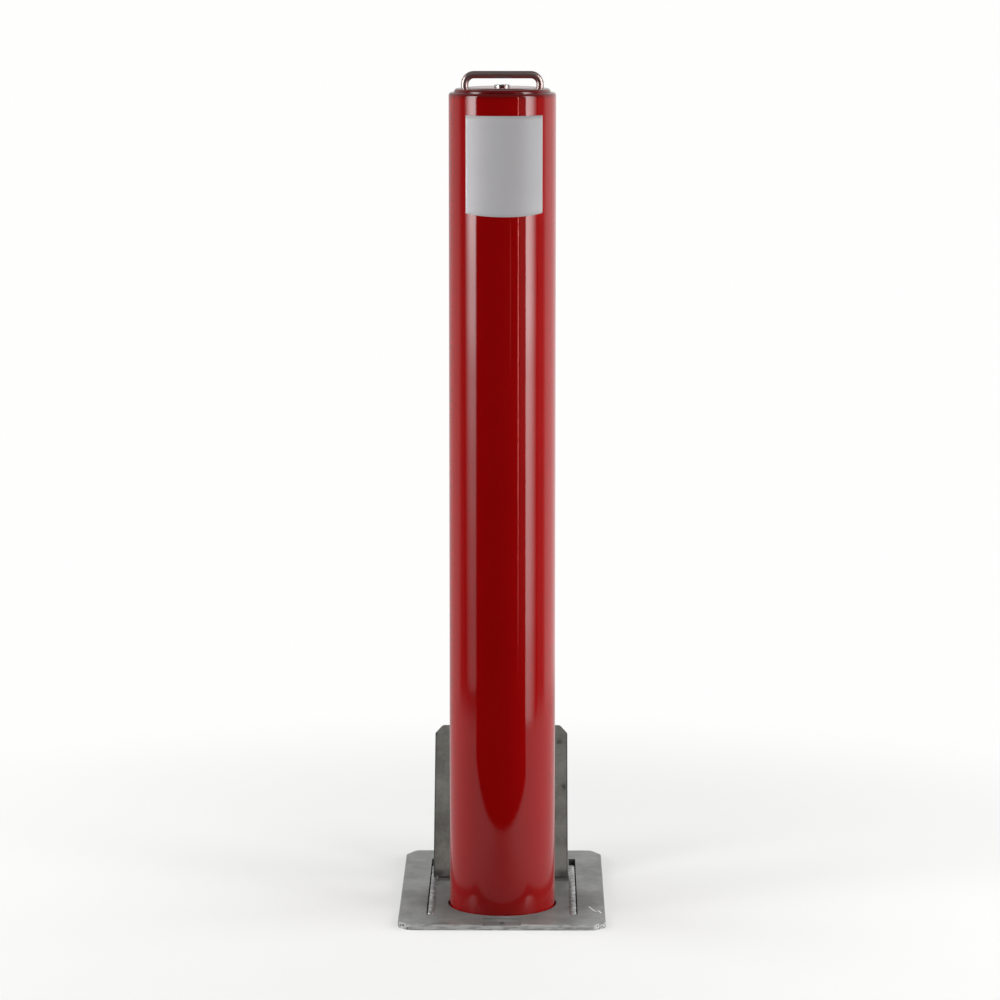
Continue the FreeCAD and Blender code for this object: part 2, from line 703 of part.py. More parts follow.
def make_lift_handle():
    """Round bar bent twice, swept from one leg's foot to the other's."""
    body = new_body("lift_handle")
    route = sketch_on(body, "XZ_Plane")
    bend = value("dims.handle_bend")
    side, low, high = value(LEG_SIDE), value(STOP_FOOT), value(BAR_UP)
    half_root = math.sqrt(0.5)

    def at(across, up):
        return FreeCAD.Vector(across, up, 0)

    def bend_arc(sign, start, end):
        middle = at(sign * (side - bend + bend * half_root), high - bend + bend * half_root)
        return route.addGeometry(Part.Arc(start, middle, end), False)

    left_leg = route.addGeometry(
        Part.LineSegment(at(-side, low), at(-side, high - bend)), False)
    left_bend = bend_arc(-1, at(-side, high - bend), at(-side + bend, high))
    bar = route.addGeometry(
        Part.LineSegment(at(-side + bend, high), at(side - bend, high)), False)
    right_bend = bend_arc(1, at(side - bend, high), at(side, high - bend))
    right_leg = route.addGeometry(
        Part.LineSegment(at(side, high - bend), at(side, low)), False)

    shoulder = f"{BAR_UP} - dims.handle_bend"
    bar_end = f"({LEG_SIDE} - dims.handle_bend)"
    pin_point(route, left_leg, 1, f"-{LEG_SIDE}", STOP_FOOT)
    pin_point(route, left_leg, 2, f"-{LEG_SIDE}", shoulder)
    pin_point(route, bar, 1, f"-{bar_end}", BAR_UP)
    pin_point(route, bar, 2, bar_end, BAR_UP)
    pin_point(route, right_leg, 1, LEG_SIDE, shoulder)
    pin_point(route, right_leg, 2, LEG_SIDE, STOP_FOOT)
    for arc, before, after in ((left_bend, left_leg, bar), (right_bend, bar, right_leg)):
        ends = (1, 2) if (arc_starts_at(route, arc, before)) else (2, 1)
        route.addConstraint(Sketcher.Constraint("Coincident", before, 2, arc, ends[0]))
        route.addConstraint(Sketcher.Constraint("Coincident", after, 1, arc, ends[1]))
        radius = route.addConstraint(Sketcher.Constraint("Radius", arc, bend))
        route.setExpression(f"Constraints[{radius}]", "dims.handle_bend")

    section = sketch_on(body, "XY_Plane", STOP_FOOT)
    circle(section, "dims.rod_diameter / 2", f"-{LEG_SIDE}")
    doc.recompute()
    sweep = body.newObject("PartDesign::AdditivePipe", "lift_handle_sweep")
    sweep.Profile = section
    sweep.Spine = (route, [""])
    return body


def arc_starts_at(sketch, arc, line):
    """Tell whether an arc of the sketch starts at a line's end."""
    return sketch.getPoint(arc, 1).distanceToPoint(sketch.getPoint(line, 2)) < 10 ** -DECIMALS


def make_stop_nut(name, sign):
    """Square nut on a leg's foot, which meets the cap when the handle is drawn up."""
    across = f"{sign} * {LEG_SIDE}"
    body = new_body(name)
    sketch = sketch_on(body, "XY_Plane", STOP_FOOT)
    square(sketch, "dims.stop_across", across)
    circle(sketch, "dims.rod_diameter / 2 + dims.turn_gap", across)
    pad(body, sketch, "dims.stop_height")
    return body


# Lock, long rod and latch


def make_lock_body():
    """Turned barrel with a flange on the cap, bored for the plug."""
    bore = "(dims.plug_diameter / 2 + dims.turn_gap)"
    flange_top = f"{CAP_TOP} + dims.lock_flange_rise"
    body = new_body("lock_body")
    sketch = sketch_on(body, "XZ_Plane")
    outline(sketch, (
        (bore, LOCK_FOOT),
        ("dims.lock_body_diameter / 2", LOCK_FOOT),
        ("dims.lock_body_diameter / 2", CAP_TOP),
        ("dims.lock_flange / 2", CAP_TOP),
        ("dims.lock_flange / 2", f"{flange_top} - dims.lock_flange_bevel"),
        ("dims.lock_flange / 2 - dims.lock_flange_bevel", flange_top),
        (bore, flange_top),
    ))
    revolve(body, sketch)
    return body


def hexagon(sketch, across_flats):
    """Draw a hexagon about the origin, with two sides across X."""
    corner = f"{across_flats} / 2 / cos(30)"
    outline(sketch, [(f"{corner} * sin({60 * side})", f"{corner} * cos({60 * side})")
                     for side in range(6)])


def make_lock_nut():
    """Nut that holds the lock's barrel against the underside of the cap."""
    body = new_body("lock_nut")
    sketch = sketch_on(body, "XY_Plane", f"{CAP_UNDER} - dims.lock_nut_thick")
    hexagon(sketch, "dims.lock_nut_across")
    circle(sketch, "dims.lock_body_diameter / 2 + dims.turn_gap")
    pad(body, sketch, "dims.lock_nut_thick")
    return body


def make_lock_plug():
    """Turning plug with its keyway and a square tail."""
    top = f"({CAP_TOP} + dims.lock_flange_rise - dims.seat_gap)"
    body = new_body("lock_plug")
    sketch = sketch_on(body, "XY_Plane", LOCK_FOOT)
    circle(sketch, "dims.plug_diameter / 2")
    pad(body, sketch, f"{top} - {LOCK_FOOT}")
    tail = sketch_on(body, "XY_Plane", TAIL_FOOT)
    square(tail, "dims.plug_tail_across")
    pad(body, tail, "dims.plug_tail")
    keyway = sketch_on(body, "XY_Plane", top)
    rectangle(keyway, "-dims.key_wide / 2", "dims.key_wide / 2",
              "-dims.key_long / 2", "dims.key_long / 2")
    pocket(body, keyway, "dims.key_deep")
    return body


def make_coupling():
    """Square sleeve with a socket for the lock's tail and a larger one for the long rod."""
    body = new_body("rod_coupling")
    sketch = sketch_on(body, "XY_Plane", COUPLING_FOOT)
    square(sketch, "dims.coupling_across")
    pad(body, sketch, "dims.coupling_length")
    tail = sketch_on(body, "XY_Plane", COUPLING_TOP)
    square(tail, "(dims.plug_tail_across + 2 * dims.turn_gap)")
    pocket(body, tail, "dims.plug_tail")
    socket = sketch_on(body, "XY_Plane", ROD_TOP)
    square(socket, ROD_HOLE)
    pocket(body, socket, f"{ROD_TOP} - {COUPLING_FOOT}")
    return cross_drilled("rod_coupling", body, coupling_pin_up(), "dims.coupling_across")


def coupling_pin_up():
    """Height of the roll pin through coupling and rod."""
    return f"(({ROD_TOP} + {COUPLING_FOOT}) / 2)"


def latch_pin_up():
    """Height of the roll pin through latch bar and rod."""
    return f"(({LATCH_TOP} + {LATCH_FOOT}) / 2)"


def cross_pin(name, up, length, gap="0"):
    """Roll pin, or the drilled hole for it, across the long rod from front to back."""
    return cylinder(name, f"dims.cross_pin_diameter / 2 + {gap}", length, "Y",
                    along=f"-({length}) / 2", up=up)


def cross_drilled(name, item, up, length):
    """Piece with the hole for a roll pin drilled through it."""
    return cut(f"{name}_drilled", item, cross_pin(f"{name}_drill", up, length, "dims.turn_gap"))


def make_lock_rod():
    """Long square rod from the coupling to the latch bar, drilled for its two pins."""
    half = "-dims.rod_across / 2"
    rod = block("lock_rod_bar", "dims.rod_across", "dims.rod_across", f"{ROD_TOP} - {LATCH_FOOT}",
                across=half, along=half, up=LATCH_FOOT)
    rod = cross_drilled("lock_rod_upper", rod, coupling_pin_up(), "dims.rod_across")
    return cross_drilled("lock_rod_lower", rod, latch_pin_up(), "dims.rod_across")


def make_rod_collar():
    """Square collar welded on the long rod, which rests on the post's foot disc."""
    body = new_body("rod_collar")
    sketch = sketch_on(body, "XY_Plane", f"{FOOT_DISC_TOP} + dims.seat_gap")
    square(sketch, "dims.collar_across")
    square(sketch, ROD_HOLE)
    pad(body, sketch, "dims.collar_height")
    return body


def make_latch_bar():
    """Bar across the rod's foot that turns under the keeper plate, with its corners cut."""
    body = new_body("latch_bar")
    sketch = sketch_on(body, "XY_Plane", LATCH_FOOT)
    rectangle(sketch, "-dims.latch_long / 2", "dims.latch_long / 2",
              "-dims.latch_wide / 2", "dims.latch_wide / 2")
    pad(body, sketch, "dims.latch_thick")
    dress(body, "Chamfer", "Size", "dims.latch_corner", runs_along(ALONG_Z))
    hole = sketch_on(body, "XY_Plane", LATCH_TOP)
    square(hole, ROD_HOLE)
    pocket(body, hole, "dims.latch_thick")
    return cross_drilled("latch_bar", body, latch_pin_up(), "dims.latch_wide")


def make_everything():
    """Build every piece of the socket, lid, post, handle and lock."""
    keep("ground_plate", make_ground_plate())
    keep("socket_tube", make_socket_tube())
    keep("keeper_plate", make_keeper_plate())
    keep("socket_foot", make_socket_foot())
    keep("brace_plate", make_brace())
    for side, sign in (("left", -1), ("right", 1)):
        keep(f"cheek_{side}", make_cheek(f"cheek_{side}", sign))
        keep(f"weld_bead_{side}", make_bead(f"weld_bead_{side}", sign))
    keep("lid_plate", make_lid_plate())
    keep("lid_knuckles", make_lid_knuckles())
    keep("plate_knuckle", make_plate_knuckle())
    keep("hinge_pin", make_hinge_pin())
    keep("post_tube", make_post_tube())
    keep("top_cap", make_top_cap())
    keep("guide_cups", group("guide_cup_pair", [
        make_guide_cup("guide_cup_left", -1), make_guide_cup("guide_cup_right", 1)]))
    keep("upper_rod_guide", make_guide_bar("upper_rod_guide", "dims.upper_guide_height"))
    keep("lower_rod_guide", make_guide_bar("lower_rod_guide", "dims.lower_guide_height"))
    keep("post_foot_disc", make_post_foot())
    keep("lift_handle", make_lift_handle())
    keep("handle_stops", group("handle_stop_pair", [
        make_stop_nut("handle_stop_left", -1), make_stop_nut("handle_stop_right", 1)]))
    keep("lock_body", make_lock_body())
    keep("lock_nut", make_lock_nut())
    keep("lock_plug", make_lock_plug())
    keep("rod_coupling", make_coupling())
    keep("coupling_pin", cross_pin("coupling_roll_pin", coupling_pin_up(),
                                   "dims.coupling_across"))
    keep("lock_rod", make_lock_rod())
    keep("rod_collar", make_rod_collar())
    keep("latch_bar", make_latch_bar())
    keep("latch_pin", cross_pin("latch_roll_pin", latch_pin_up(), "dims.latch_wide"))


def check_document():
    """Stop on any failed object and on any piece without a sound shape."""
    for item in doc.Objects:
        if "Invalid" in item.State or "Error" in item.State:
            raise RuntimeError(f"{item.Label} failed: {item.State}")
    for name, item in parts.items():
        if item.Shape.isNull() or not item.Shape.isValid():
            raise RuntimeError(f"{name} has no sound shape")


def export_parts():
    """Write each piece to its own file."""
    os.makedirs("parts", exist_ok=True)
    for name, item in parts.items():
        item.Shape.exportStep(f"parts/{name}.step")


make_everything()
doc.recompute()
check_document()
export_parts()
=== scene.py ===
import json
import math

import bmesh
import bpy
import numpy as np
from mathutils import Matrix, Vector


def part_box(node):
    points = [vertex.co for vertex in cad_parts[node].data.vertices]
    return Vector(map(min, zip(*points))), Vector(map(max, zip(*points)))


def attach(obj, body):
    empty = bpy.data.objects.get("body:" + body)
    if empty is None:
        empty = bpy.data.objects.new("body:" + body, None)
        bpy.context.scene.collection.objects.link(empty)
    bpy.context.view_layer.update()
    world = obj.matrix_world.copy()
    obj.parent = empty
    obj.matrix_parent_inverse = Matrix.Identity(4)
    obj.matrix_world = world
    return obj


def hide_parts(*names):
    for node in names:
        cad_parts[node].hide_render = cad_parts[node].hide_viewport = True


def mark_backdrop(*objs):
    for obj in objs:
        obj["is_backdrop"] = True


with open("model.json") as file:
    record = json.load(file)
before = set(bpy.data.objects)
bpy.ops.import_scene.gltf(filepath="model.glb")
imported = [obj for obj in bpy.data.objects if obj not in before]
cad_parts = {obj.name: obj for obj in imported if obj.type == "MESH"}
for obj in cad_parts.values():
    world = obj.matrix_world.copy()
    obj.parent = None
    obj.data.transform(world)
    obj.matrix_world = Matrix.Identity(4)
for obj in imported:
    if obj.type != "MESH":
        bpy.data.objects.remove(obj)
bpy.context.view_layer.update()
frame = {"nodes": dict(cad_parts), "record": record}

# The ground plate is flame-cut from 6 mm mild steel and set flush in the paving, with the post's
# round hole, two long side slots and a thumb recess. It keeps its grey mill skin, rubbed lighter
# along the rims, scuffed dull round the post and scratched near the right front corner.

mm = 0.001
PLATE_EDGE = 0.3 * mm
MERGE = 0.001 * mm
FLAT_ANGLE = math.radians(0.5)
CREASE_ANGLE = math.radians(35)
# The colour sockets of a Mix node go by number, because its other sockets have the same names.
MIX_FIRST, MIX_SECOND, MIX_RESULT = 6, 7, 2
bodies = {node: body for body, nodes in frame["record"]["behaviour"]["bodies"].items()
          for node in nodes}


class Wire:
    """A shader socket in Python maths: each operator adds the Math node that does it."""

    def __init__(self, tree, socket):
        self.tree = tree
        self.socket = socket

    def node(self, kind, settings, sockets, output=0):
        """Add any node: its settings first, then the values or links of its sockets."""
        made = self.tree.nodes.new(kind)
        for name, setting in settings.items():
            setattr(made, name, setting)
        for key, given in sockets.items():
            if isinstance(given, Wire):
                self.tree.links.new(given.socket, made.inputs[key])
            else:
                made.inputs[key].default_value = given
        return Wire(self.tree, made.outputs[output])

    def __add__(self, other):
        return self.node("ShaderNodeMath", {"operation": "ADD"}, {0: self, 1: other})

    def __sub__(self, other):
        return self.node("ShaderNodeMath", {"operation": "SUBTRACT"}, {0: self, 1: other})

    def __rsub__(self, other):
        return self.node("ShaderNodeMath", {"operation": "SUBTRACT"}, {0: other, 1: self})

    def __mul__(self, other):
        return self.node("ShaderNodeMath", {"operation": "MULTIPLY"}, {0: self, 1: other})

    def __abs__(self):
        return self.node("ShaderNodeMath", {"operation": "ABSOLUTE"}, {0: self})

    __radd__ = __add__
    __rmul__ = __mul__


def new_finish(name, **steady):
    """Start a material: its shader with the steady sockets set, and Object coordinates."""
    material = bpy.data.materials.new(name)
    material.use_nodes = True
    tree = material.node_tree
    shader = tree.nodes["Principled BSDF"]
    for socket, amount in steady.items():
        shader.inputs[socket.replace("_", " ")].default_value = amount
    return material, shader, Wire(tree, tree.nodes.new("ShaderNodeTexCoord").outputs["Object"])


def feed(shader, wires):
    """Link each wire to the shader's socket of that name."""
    for socket, wire in wires.items():
        wire.tree.links.new(wire.socket, shader.inputs[socket])


def noise(place, lumps, detail=3.0):
    """Soft random value from 0 to 1, with so many lumps in a metre."""
    return place.node("ShaderNodeTexNoise", {},
                      {"Vector": place, "Scale": lumps, "Detail": detail})


def step(wire, low, high, start=0.0, end=1.0):
    """Go smoothly from start to end while the wire goes from low to high."""
    return wire.node("ShaderNodeMapRange", {"interpolation_type": "SMOOTHSTEP"},
                     {"Value": wire, "From Min": low, "From Max": high,
                      "To Min": start, "To Max": end})


def tint(factor, colour, other):
    """Colour where the factor is 0 and the other where it is 1."""
    ends = [given if isinstance(given, Wire) else (*given, 1.0) for given in (colour, other)]
    return factor.node("ShaderNodeMix", {"data_type": "RGBA"},
                       {"Factor": factor, MIX_FIRST: ends[0], MIX_SECOND: ends[1]}, MIX_RESULT)


def along(place, axis):
    """The place's coordinate on the axis X, Y or Z."""
    return place.node("ShaderNodeSeparateXYZ", {}, {"Vector": place}, axis)


def stretched(place, scales):
    """The place with its three axes scaled, so that a pattern runs along one of them."""
    return place.node("ShaderNodeMapping", {}, {"Vector": place, "Scale": scales})


def relief(height, distance, strength=1.0):
    """Normal of a surface whose height goes from 0 to distance in metres."""
    return height.node("ShaderNodeBump", {},
                       {"Strength": strength, "Distance": distance, "Height": height})


def stand_for(piece, material, *nodes):
    """Give a new piece its material and let it stand for its nodes, on their body."""
    piece.data.materials.clear()
    piece.data.materials.append(material)
    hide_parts(*nodes)
    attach(piece, bodies[nodes[0]])
    return piece


def add_object(name, data):
    """Put a mesh, lamp or camera in the scene, at the origin."""
    added = bpy.data.objects.new(name, data)
    bpy.context.scene.collection.objects.link(added)
    return added


def eased_copy(node, material, edge=0.0):
    """Copy a node with its points merged, round faces smooth and, by a bevel, softer edges."""
    mesh = frame["nodes"][node].data.copy()
    shape = bmesh.new()
    shape.from_mesh(mesh)
    bmesh.ops.remove_doubles(shape, verts=shape.verts, dist=MERGE)
    bmesh.ops.dissolve_limit(shape, angle_limit=FLAT_ANGLE, verts=shape.verts, edges=shape.edges)
    shape.to_mesh(mesh)
    shape.free()
    mesh.shade_smooth()
    mesh.set_sharp_from_angle(angle=CREASE_ANGLE)
    piece = add_object(f"{node}_piece", mesh)
    if edge:
        bevel = piece.modifiers.new("eased_edges", "BEVEL")
        bevel.width = edge
        bevel.segments = 2
        bevel.angle_limit = CREASE_ANGLE
        bevel.use_clamp_overlap = False
        bevel.harden_normals = True
    return stand_for(piece, material, node)


CLOUDS, SMEARS, MOTTLE, GRAIN = 24.0, (55.0, 30.0, 55.0), 230.0, 60.0
PATCHY, MOTTLED = (0.36, 0.64), (0.38, 0.66)
SKIN_ROUGHNESS, GRAIN_ROUGHNESS = 0.24, 0.14
SKIN_RELIEF = 0.05 * mm


def raw_steel(name, dark, light, marks=None):
    """Mill-finish plate: broad clouds, soft smears and small mottles, with a piece's own marks.

    The marks are (mask, colour, dullness) triples, laid over the steel one after the other.
    """
    material, shader, place = new_finish(name, Metallic=0.3, IOR=1.35)
    clouds = step(noise(place, CLOUDS, 4.0), *PATCHY)
    smears = step(noise(stretched(place, SMEARS), 1.0), *PATCHY)
    mottle = step(noise(place, MOTTLE), *MOTTLED)
    colour = tint(clouds * 0.45 + smears * 0.35 + mottle * 0.2, dark, light)
    rough = SKIN_ROUGHNESS + GRAIN_ROUGHNESS * noise(place, GRAIN, 4.0)
    for mask, mark, dullness in marks(place) if marks else ():
        colour = tint(mask, colour, mark)
        rough = rough + mask * dullness
    feed(shader, {
        "Base Color": colour,
        "Roughness": rough,
        "Normal": relief(mottle * 0.6 + smears * 0.4, SKIN_RELIEF, 0.5),
    })
    return material


def scratch(place, start, end, width):
    """Mask of a thin line between two places on a level face, by the distance from it."""
    ahead = (end[0] - start[0], end[1] - start[1])
    length = math.hypot(*ahead)
    across, forward = along(place, "X") - start[0], along(place, "Y") - start[1]
    run = across * (ahead[0] / length) + forward * (ahead[1] / length)
    off = abs(across * (ahead[1] / length) - forward * (ahead[0] / length))
    inside = step(run, 0.0, width) * step(run, length - width, length, 1.0, 0.0)
    return step(off, 0.4 * width, width, 1.0, 0.0) * inside


def span(across, forward):
    """Distance from the origin of a place given by two wires: root of the sum of squares."""
    squares = across * across + forward * forward
    return squares.node("ShaderNodeMath", {"operation": "SQRT"}, {0: squares})


PLATE_DARK, PLATE_LIGHT = (0.096, 0.098, 0.091), (0.222, 0.225, 0.214)
SCUFF_GREY, SCUFF_FADE = (0.178, 0.181, 0.174), (64.0 * mm, 124.0 * mm)
RIM_STEEL, RIM, RIM_FADE, RIM_RAGGED = (0.27, 0.275, 0.265), 1.3 * mm, 1.2 * mm, 2.4 * mm
FRONT_FACE_HIGHLIGHT, FRONT_RIM, FRONT_FADE = (0.53, 0.535, 0.525), 1.0 * mm, 0.6 * mm
RAGS, FLECKS, CHIPS = 260.0, (75.0, 75.0, 420.0), 420.0
FLECKED, CHIPPED = (0.38, 0.56), (0.4, 0.52)
DIRT_AND_SHADE_BROWN = (0.05, 0.045, 0.038)
HINGE_LINE, HINGE_FADE, HINGE_END_FADE = 114.0 * mm, (14.0 * mm, 22.0 * mm), (74.0 * mm, 80.0 * mm)
BRIGHT_WORN, CORNER_FADE = (0.58, 0.58, 0.58), (-11.4 * mm, -10.2 * mm)
SCRATCH_BRIGHT, SCRATCH_WIDTH = (0.8, 0.8, 0.8), 0.9 * mm
SCRATCH = ((94.1 * mm, -17.2 * mm), (100.7 * mm, -38.8 * mm), (104.7 * mm, -35.8 * mm),
           (107.5 * mm, -46.5 * mm))
DARK_PATCH, DARK_PATCH_FADE, DARK_PATCH_SQUASH = (1.4 * mm, -84.9 * mm), (4.0 * mm, 11.0 * mm), 0.38


def plate_marks(place):
    """The plate's wear, from the broadest to the smallest.

    It has scuffs round the post, rubbed rims, a painted highlight on the flecked front face, grime
    and painted shade under the hinge, worn front corners, one zigzag scratch and a darker patch
    by the recess.
    """
    low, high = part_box("ground_plate")
    across, forward = along(place, "X"), along(place, "Y")
    scuffs = step(span(across, forward), *SCUFF_FADE, 0.5, 0.0)
    side = abs(across) - (high.x - RIM)
    front = (low.y + FRONT_RIM) - forward
    back = forward - (high.y - RIM)
    ragged = (noise(place, RAGS) - 0.5) * RIM_RAGGED
    rims = sum(step(edge + ragged, 0.0, RIM_FADE) for edge in (side, back)) * 0.5
    flecks = step(noise(stretched(place, FLECKS), 1.0, 4.0), *FLECKED)
    # Painted highlight on the front face, flecked like the cut steel.
    face = step(front, 0.0, FRONT_FADE) * (0.45 + 0.55 * flecks)
    # Grime and painted shade on the plate under the lid's foot and hinge.
    dirt_and_shade = (step(abs(forward - HINGE_LINE), *HINGE_FADE, 1.0, 0.0)
            * step(abs(across), *HINGE_END_FADE, 0.8, 0.0))
    corners = step(front + side, *CORNER_FADE) * step(noise(place, CHIPS), *CHIPPED)
    worn = sum(scratch(place, start, end, SCRATCH_WIDTH)
               for start, end in zip(SCRATCH, SCRATCH[1:]))
    # A darker patch by the recess.
    dark_patch = step(span((across - DARK_PATCH[0]) * DARK_PATCH_SQUASH, forward - DARK_PATCH[1]),
                  *DARK_PATCH_FADE, 1.0, 0.0)
    return ((scuffs, SCUFF_GREY, 0.56), (rims, RIM_STEEL, 0.0), (face, FRONT_FACE_HIGHLIGHT, 0.0),
            (dirt_and_shade, DIRT_AND_SHADE_BROWN, 0.6), (corners, BRIGHT_WORN, 0.1), (worn, SCRATCH_BRIGHT, 0.0),
            (dark_patch * 0.5, PLATE_DARK, 0.1))


plate_steel = raw_steel("plate_steel", PLATE_DARK, PLATE_LIGHT, plate_marks)
eased_copy("ground_plate", plate_steel, PLATE_EDGE)

# The socket hangs below the plate: a tube, a keeper plate that the post stands on, a square foot,
# two side cheeks and the collar plate that ties them. All are the same raw plate and tube, welded
# together, and the paving hides them.

socket_steel = raw_steel("socket_steel", PLATE_DARK, PLATE_LIGHT)
for node in ("socket_tube", "keeper_plate", "socket_foot", "brace_plate", "cheek_left",
             "cheek_right"):
    eased_copy(node, socket_steel)

# The weld beads close the side slots over the cheeks' tabs. Each is a bright lumpy run of weld
# metal laid by hand, which melts into the plate on its inner side and stands proud of the gap.

BEAD_STEPS, BEAD_ROUND = 420, 14
BEAD_TAPER, BEAD_FULLNESS = 3 * mm, 0.8
RIPPLE, RIPPLE_SHIFT = 8.5 * mm, 1.4
RISE_LUMPS = (31 * mm, 17 * mm, 9.3 * mm, 5.1 * mm)
WIDTH_LUMPS = (13 * mm, 6 * mm)
DRIFT_LUMPS = (23 * mm, 11 * mm)
WELD_DARK, WELD_BRIGHT = (0.24, 0.24, 0.24), (0.56, 0.565, 0.56)
WELD_PATCHES, WELD_SCALE, WELD_GRAIN = 160.0, 300.0, 900.0


def closed_grid(name, points):
    """Mesh of quads over a grid of points whose second direction closes on itself.

    Point (i, j) joins (i + 1, j), (i + 1, j + 1) and (i, j + 1), with j counted round the ring.
    """
    rows, around = points.shape[:2]
    row, turn = np.meshgrid(np.arange(rows - 1), np.arange(around), indexing="ij")
    after = (turn + 1) % around
    faces = np.stack([row * around + turn, (row + 1) * around + turn,
                      (row + 1) * around + after, row * around + after], -1).reshape(-1, 4)
    mesh = bpy.data.meshes.new(name)
    mesh.from_pydata(points.reshape(-1, 3).tolist(), [], faces.tolist())
    shape = bmesh.new()
    shape.from_mesh(mesh)
    bmesh.ops.remove_doubles(shape, verts=shape.verts, dist=MERGE)
    bmesh.ops.recalc_face_normals(shape, faces=shape.faces)
    shape.to_mesh(mesh)
    shape.free()
    mesh.shade_smooth()
    mesh.set_sharp_from_angle(angle=CREASE_ANGLE)
    return add_object(name, mesh)


def lumpy(run, seed, sizes):
    """Smooth random wobble along a run, within -1 to 1: the mean of sines of random phases."""
    random = np.random.default_rng(seed)
    phases = random.uniform(0, 2 * np.pi, len(sizes))
    waves = [np.sin(2 * np.pi * run / size + phase) for size, phase in zip(sizes, phases)]
    return sum(waves) / len(waves)


def weld_bead(node, seed):
    """Bead whose section is a full half ellipse on a flat foot, carried along the slot.

    A section goes across by the half width times cos t, and up by the height times sin t to the
    power of the fullness. Both are the node's own, times a random wobble, and the height also
    goes up and down with each ripple of the weld as the size of a sine does. Towards both ends
    they shrink as the root of the distance from the end, and the middle drifts a little outwards.
    """
    low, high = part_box(node)
    outward = 1 if low.x > 0 else -1
    run = np.linspace(0, high.y - low.y, BEAD_STEPS)
    taper = np.sqrt(np.clip(np.minimum(run, run[::-1]) / BEAD_TAPER, 0, 1))
    wobble = lumpy(run, seed, RISE_LUMPS)
    ripple = np.abs(np.sin(np.pi * run / RIPPLE + RIPPLE_SHIFT * wobble))
    rise = (high.z - low.z) * taper * (0.82 + 0.14 * wobble + 0.04 * ripple)
    half = (high.x - low.x) / 2 * taper * (0.9 + 0.1 * lumpy(run, seed + 1, WIDTH_LUMPS))
    drift = 0.5 + 0.3 * lumpy(run, seed + 2, DRIFT_LUMPS)
    middle = (low.x + high.x) / 2 + outward * drift * mm
    turn = np.linspace(0, 2 * np.pi, BEAD_ROUND, endpoint=False)
    across = middle[:, None] + half[:, None] * np.cos(turn)
    up = low.z + rise[:, None] * np.clip(np.sin(turn), 0, 1) ** BEAD_FULLNESS
    points = np.stack([across, np.broadcast_to((low.y + run)[:, None], across.shape), up], -1)
    return closed_grid(f"{node}_lumps", points)


weld_metal, shader, place = new_finish("weld_metal", Metallic=0.85, IOR=1.8)
feed(shader, {
    "Base Color": tint(step(noise(place, WELD_PATCHES), 0.35, 0.65), WELD_DARK, WELD_BRIGHT),
    "Roughness": 0.32 + 0.2 * noise(place, WELD_SCALE),
    "Normal": relief(noise(place, WELD_GRAIN), 0.06 * mm, 0.7),
})
for seed, node in enumerate(("weld_bead_left", "weld_bead_right")):
    stand_for(weld_bead(node, 5 * seed + 3), weld_metal, node)

# The lid hinges on a pin behind the post and, with the post taken away, folds down over its hole.
# It is cut from the same 6 mm plate, a darker and greener sheet, with knuckles welded to its foot
# and stains near its free corners. Painted shade darkens its side borders, and grime and painted
# shade its foot.

LID_EDGE = 0.4 * mm
LID_MIDDLE = -2.7 * mm
LID_DARK, LID_LIGHT = (0.098, 0.102, 0.09), (0.185, 0.191, 0.174)
STAIN_AND_SHADE = (0.03, 0.032, 0.03)
STAINS = ((-77.5 * mm, 149.4 * mm), (63.1 * mm, 142.1 * mm), (69.0 * mm, 96.0 * mm))
STAIN_FADE, STAIN_RAGGED, STAIN_RAGS = (5.0 * mm, 9.0 * mm), 9.0 * mm, 210.0
FOOT_FADE, FOOT_END_FADE = (11.0 * mm, 17.0 * mm), (58.0 * mm, 70.0 * mm)
FOOT_SPECKS, FOOT_SPECKLED = 120.0, (0.2, 0.45, 0.5, 1.0)
BORDER_FADE = 73.3 * mm, 74.6 * mm


def lid_marks(place):
    """Painted shade on the lid's sides, grime and painted shade at its foot, and three stains."""
    across, up = along(place, "X"), along(place, "Z")
    off_middle = abs(across - LID_MIDDLE)
    # Painted shade along the lid's side edges.
    border = step(off_middle, *BORDER_FADE) * 0.75
    # Grime and painted shade at the lid's foot, where it meets the plate.
    foot = step(up, *FOOT_FADE, 1.0, 0.0)
    ends = step(off_middle, *FOOT_END_FADE)
    dirt_and_shade = foot * (0.4 + 0.5 * ends) * step(noise(place, FOOT_SPECKS), *FOOT_SPECKLED)
    ragged = STAIN_RAGGED * noise(place, STAIN_RAGS, 4.0)
    spots = sum(step(span(across - x, up - z) + ragged, *STAIN_FADE, 1.0, 0.0) for x, z in STAINS)
    return (border, STAIN_AND_SHADE, 0.2), (dirt_and_shade, STAIN_AND_SHADE, 0.3), (spots * 0.75, STAIN_AND_SHADE, 0.3)


lid_steel = raw_steel("lid_steel", LID_DARK, LID_LIGHT, lid_marks)
eased_copy("lid_plate", lid_steel, LID_EDGE)
eased_copy("lid_knuckles", lid_steel)
eased_copy("plate_knuckle", socket_steel)

# The hinge pin, the lock's long rod and the fittings on it are turned or drawn bright steel, with
# fine lines round or along them and no paint. The post's foot disc, its two guides and the cups
# for the handle's nuts are cut from the same raw steel as the socket and welded in.

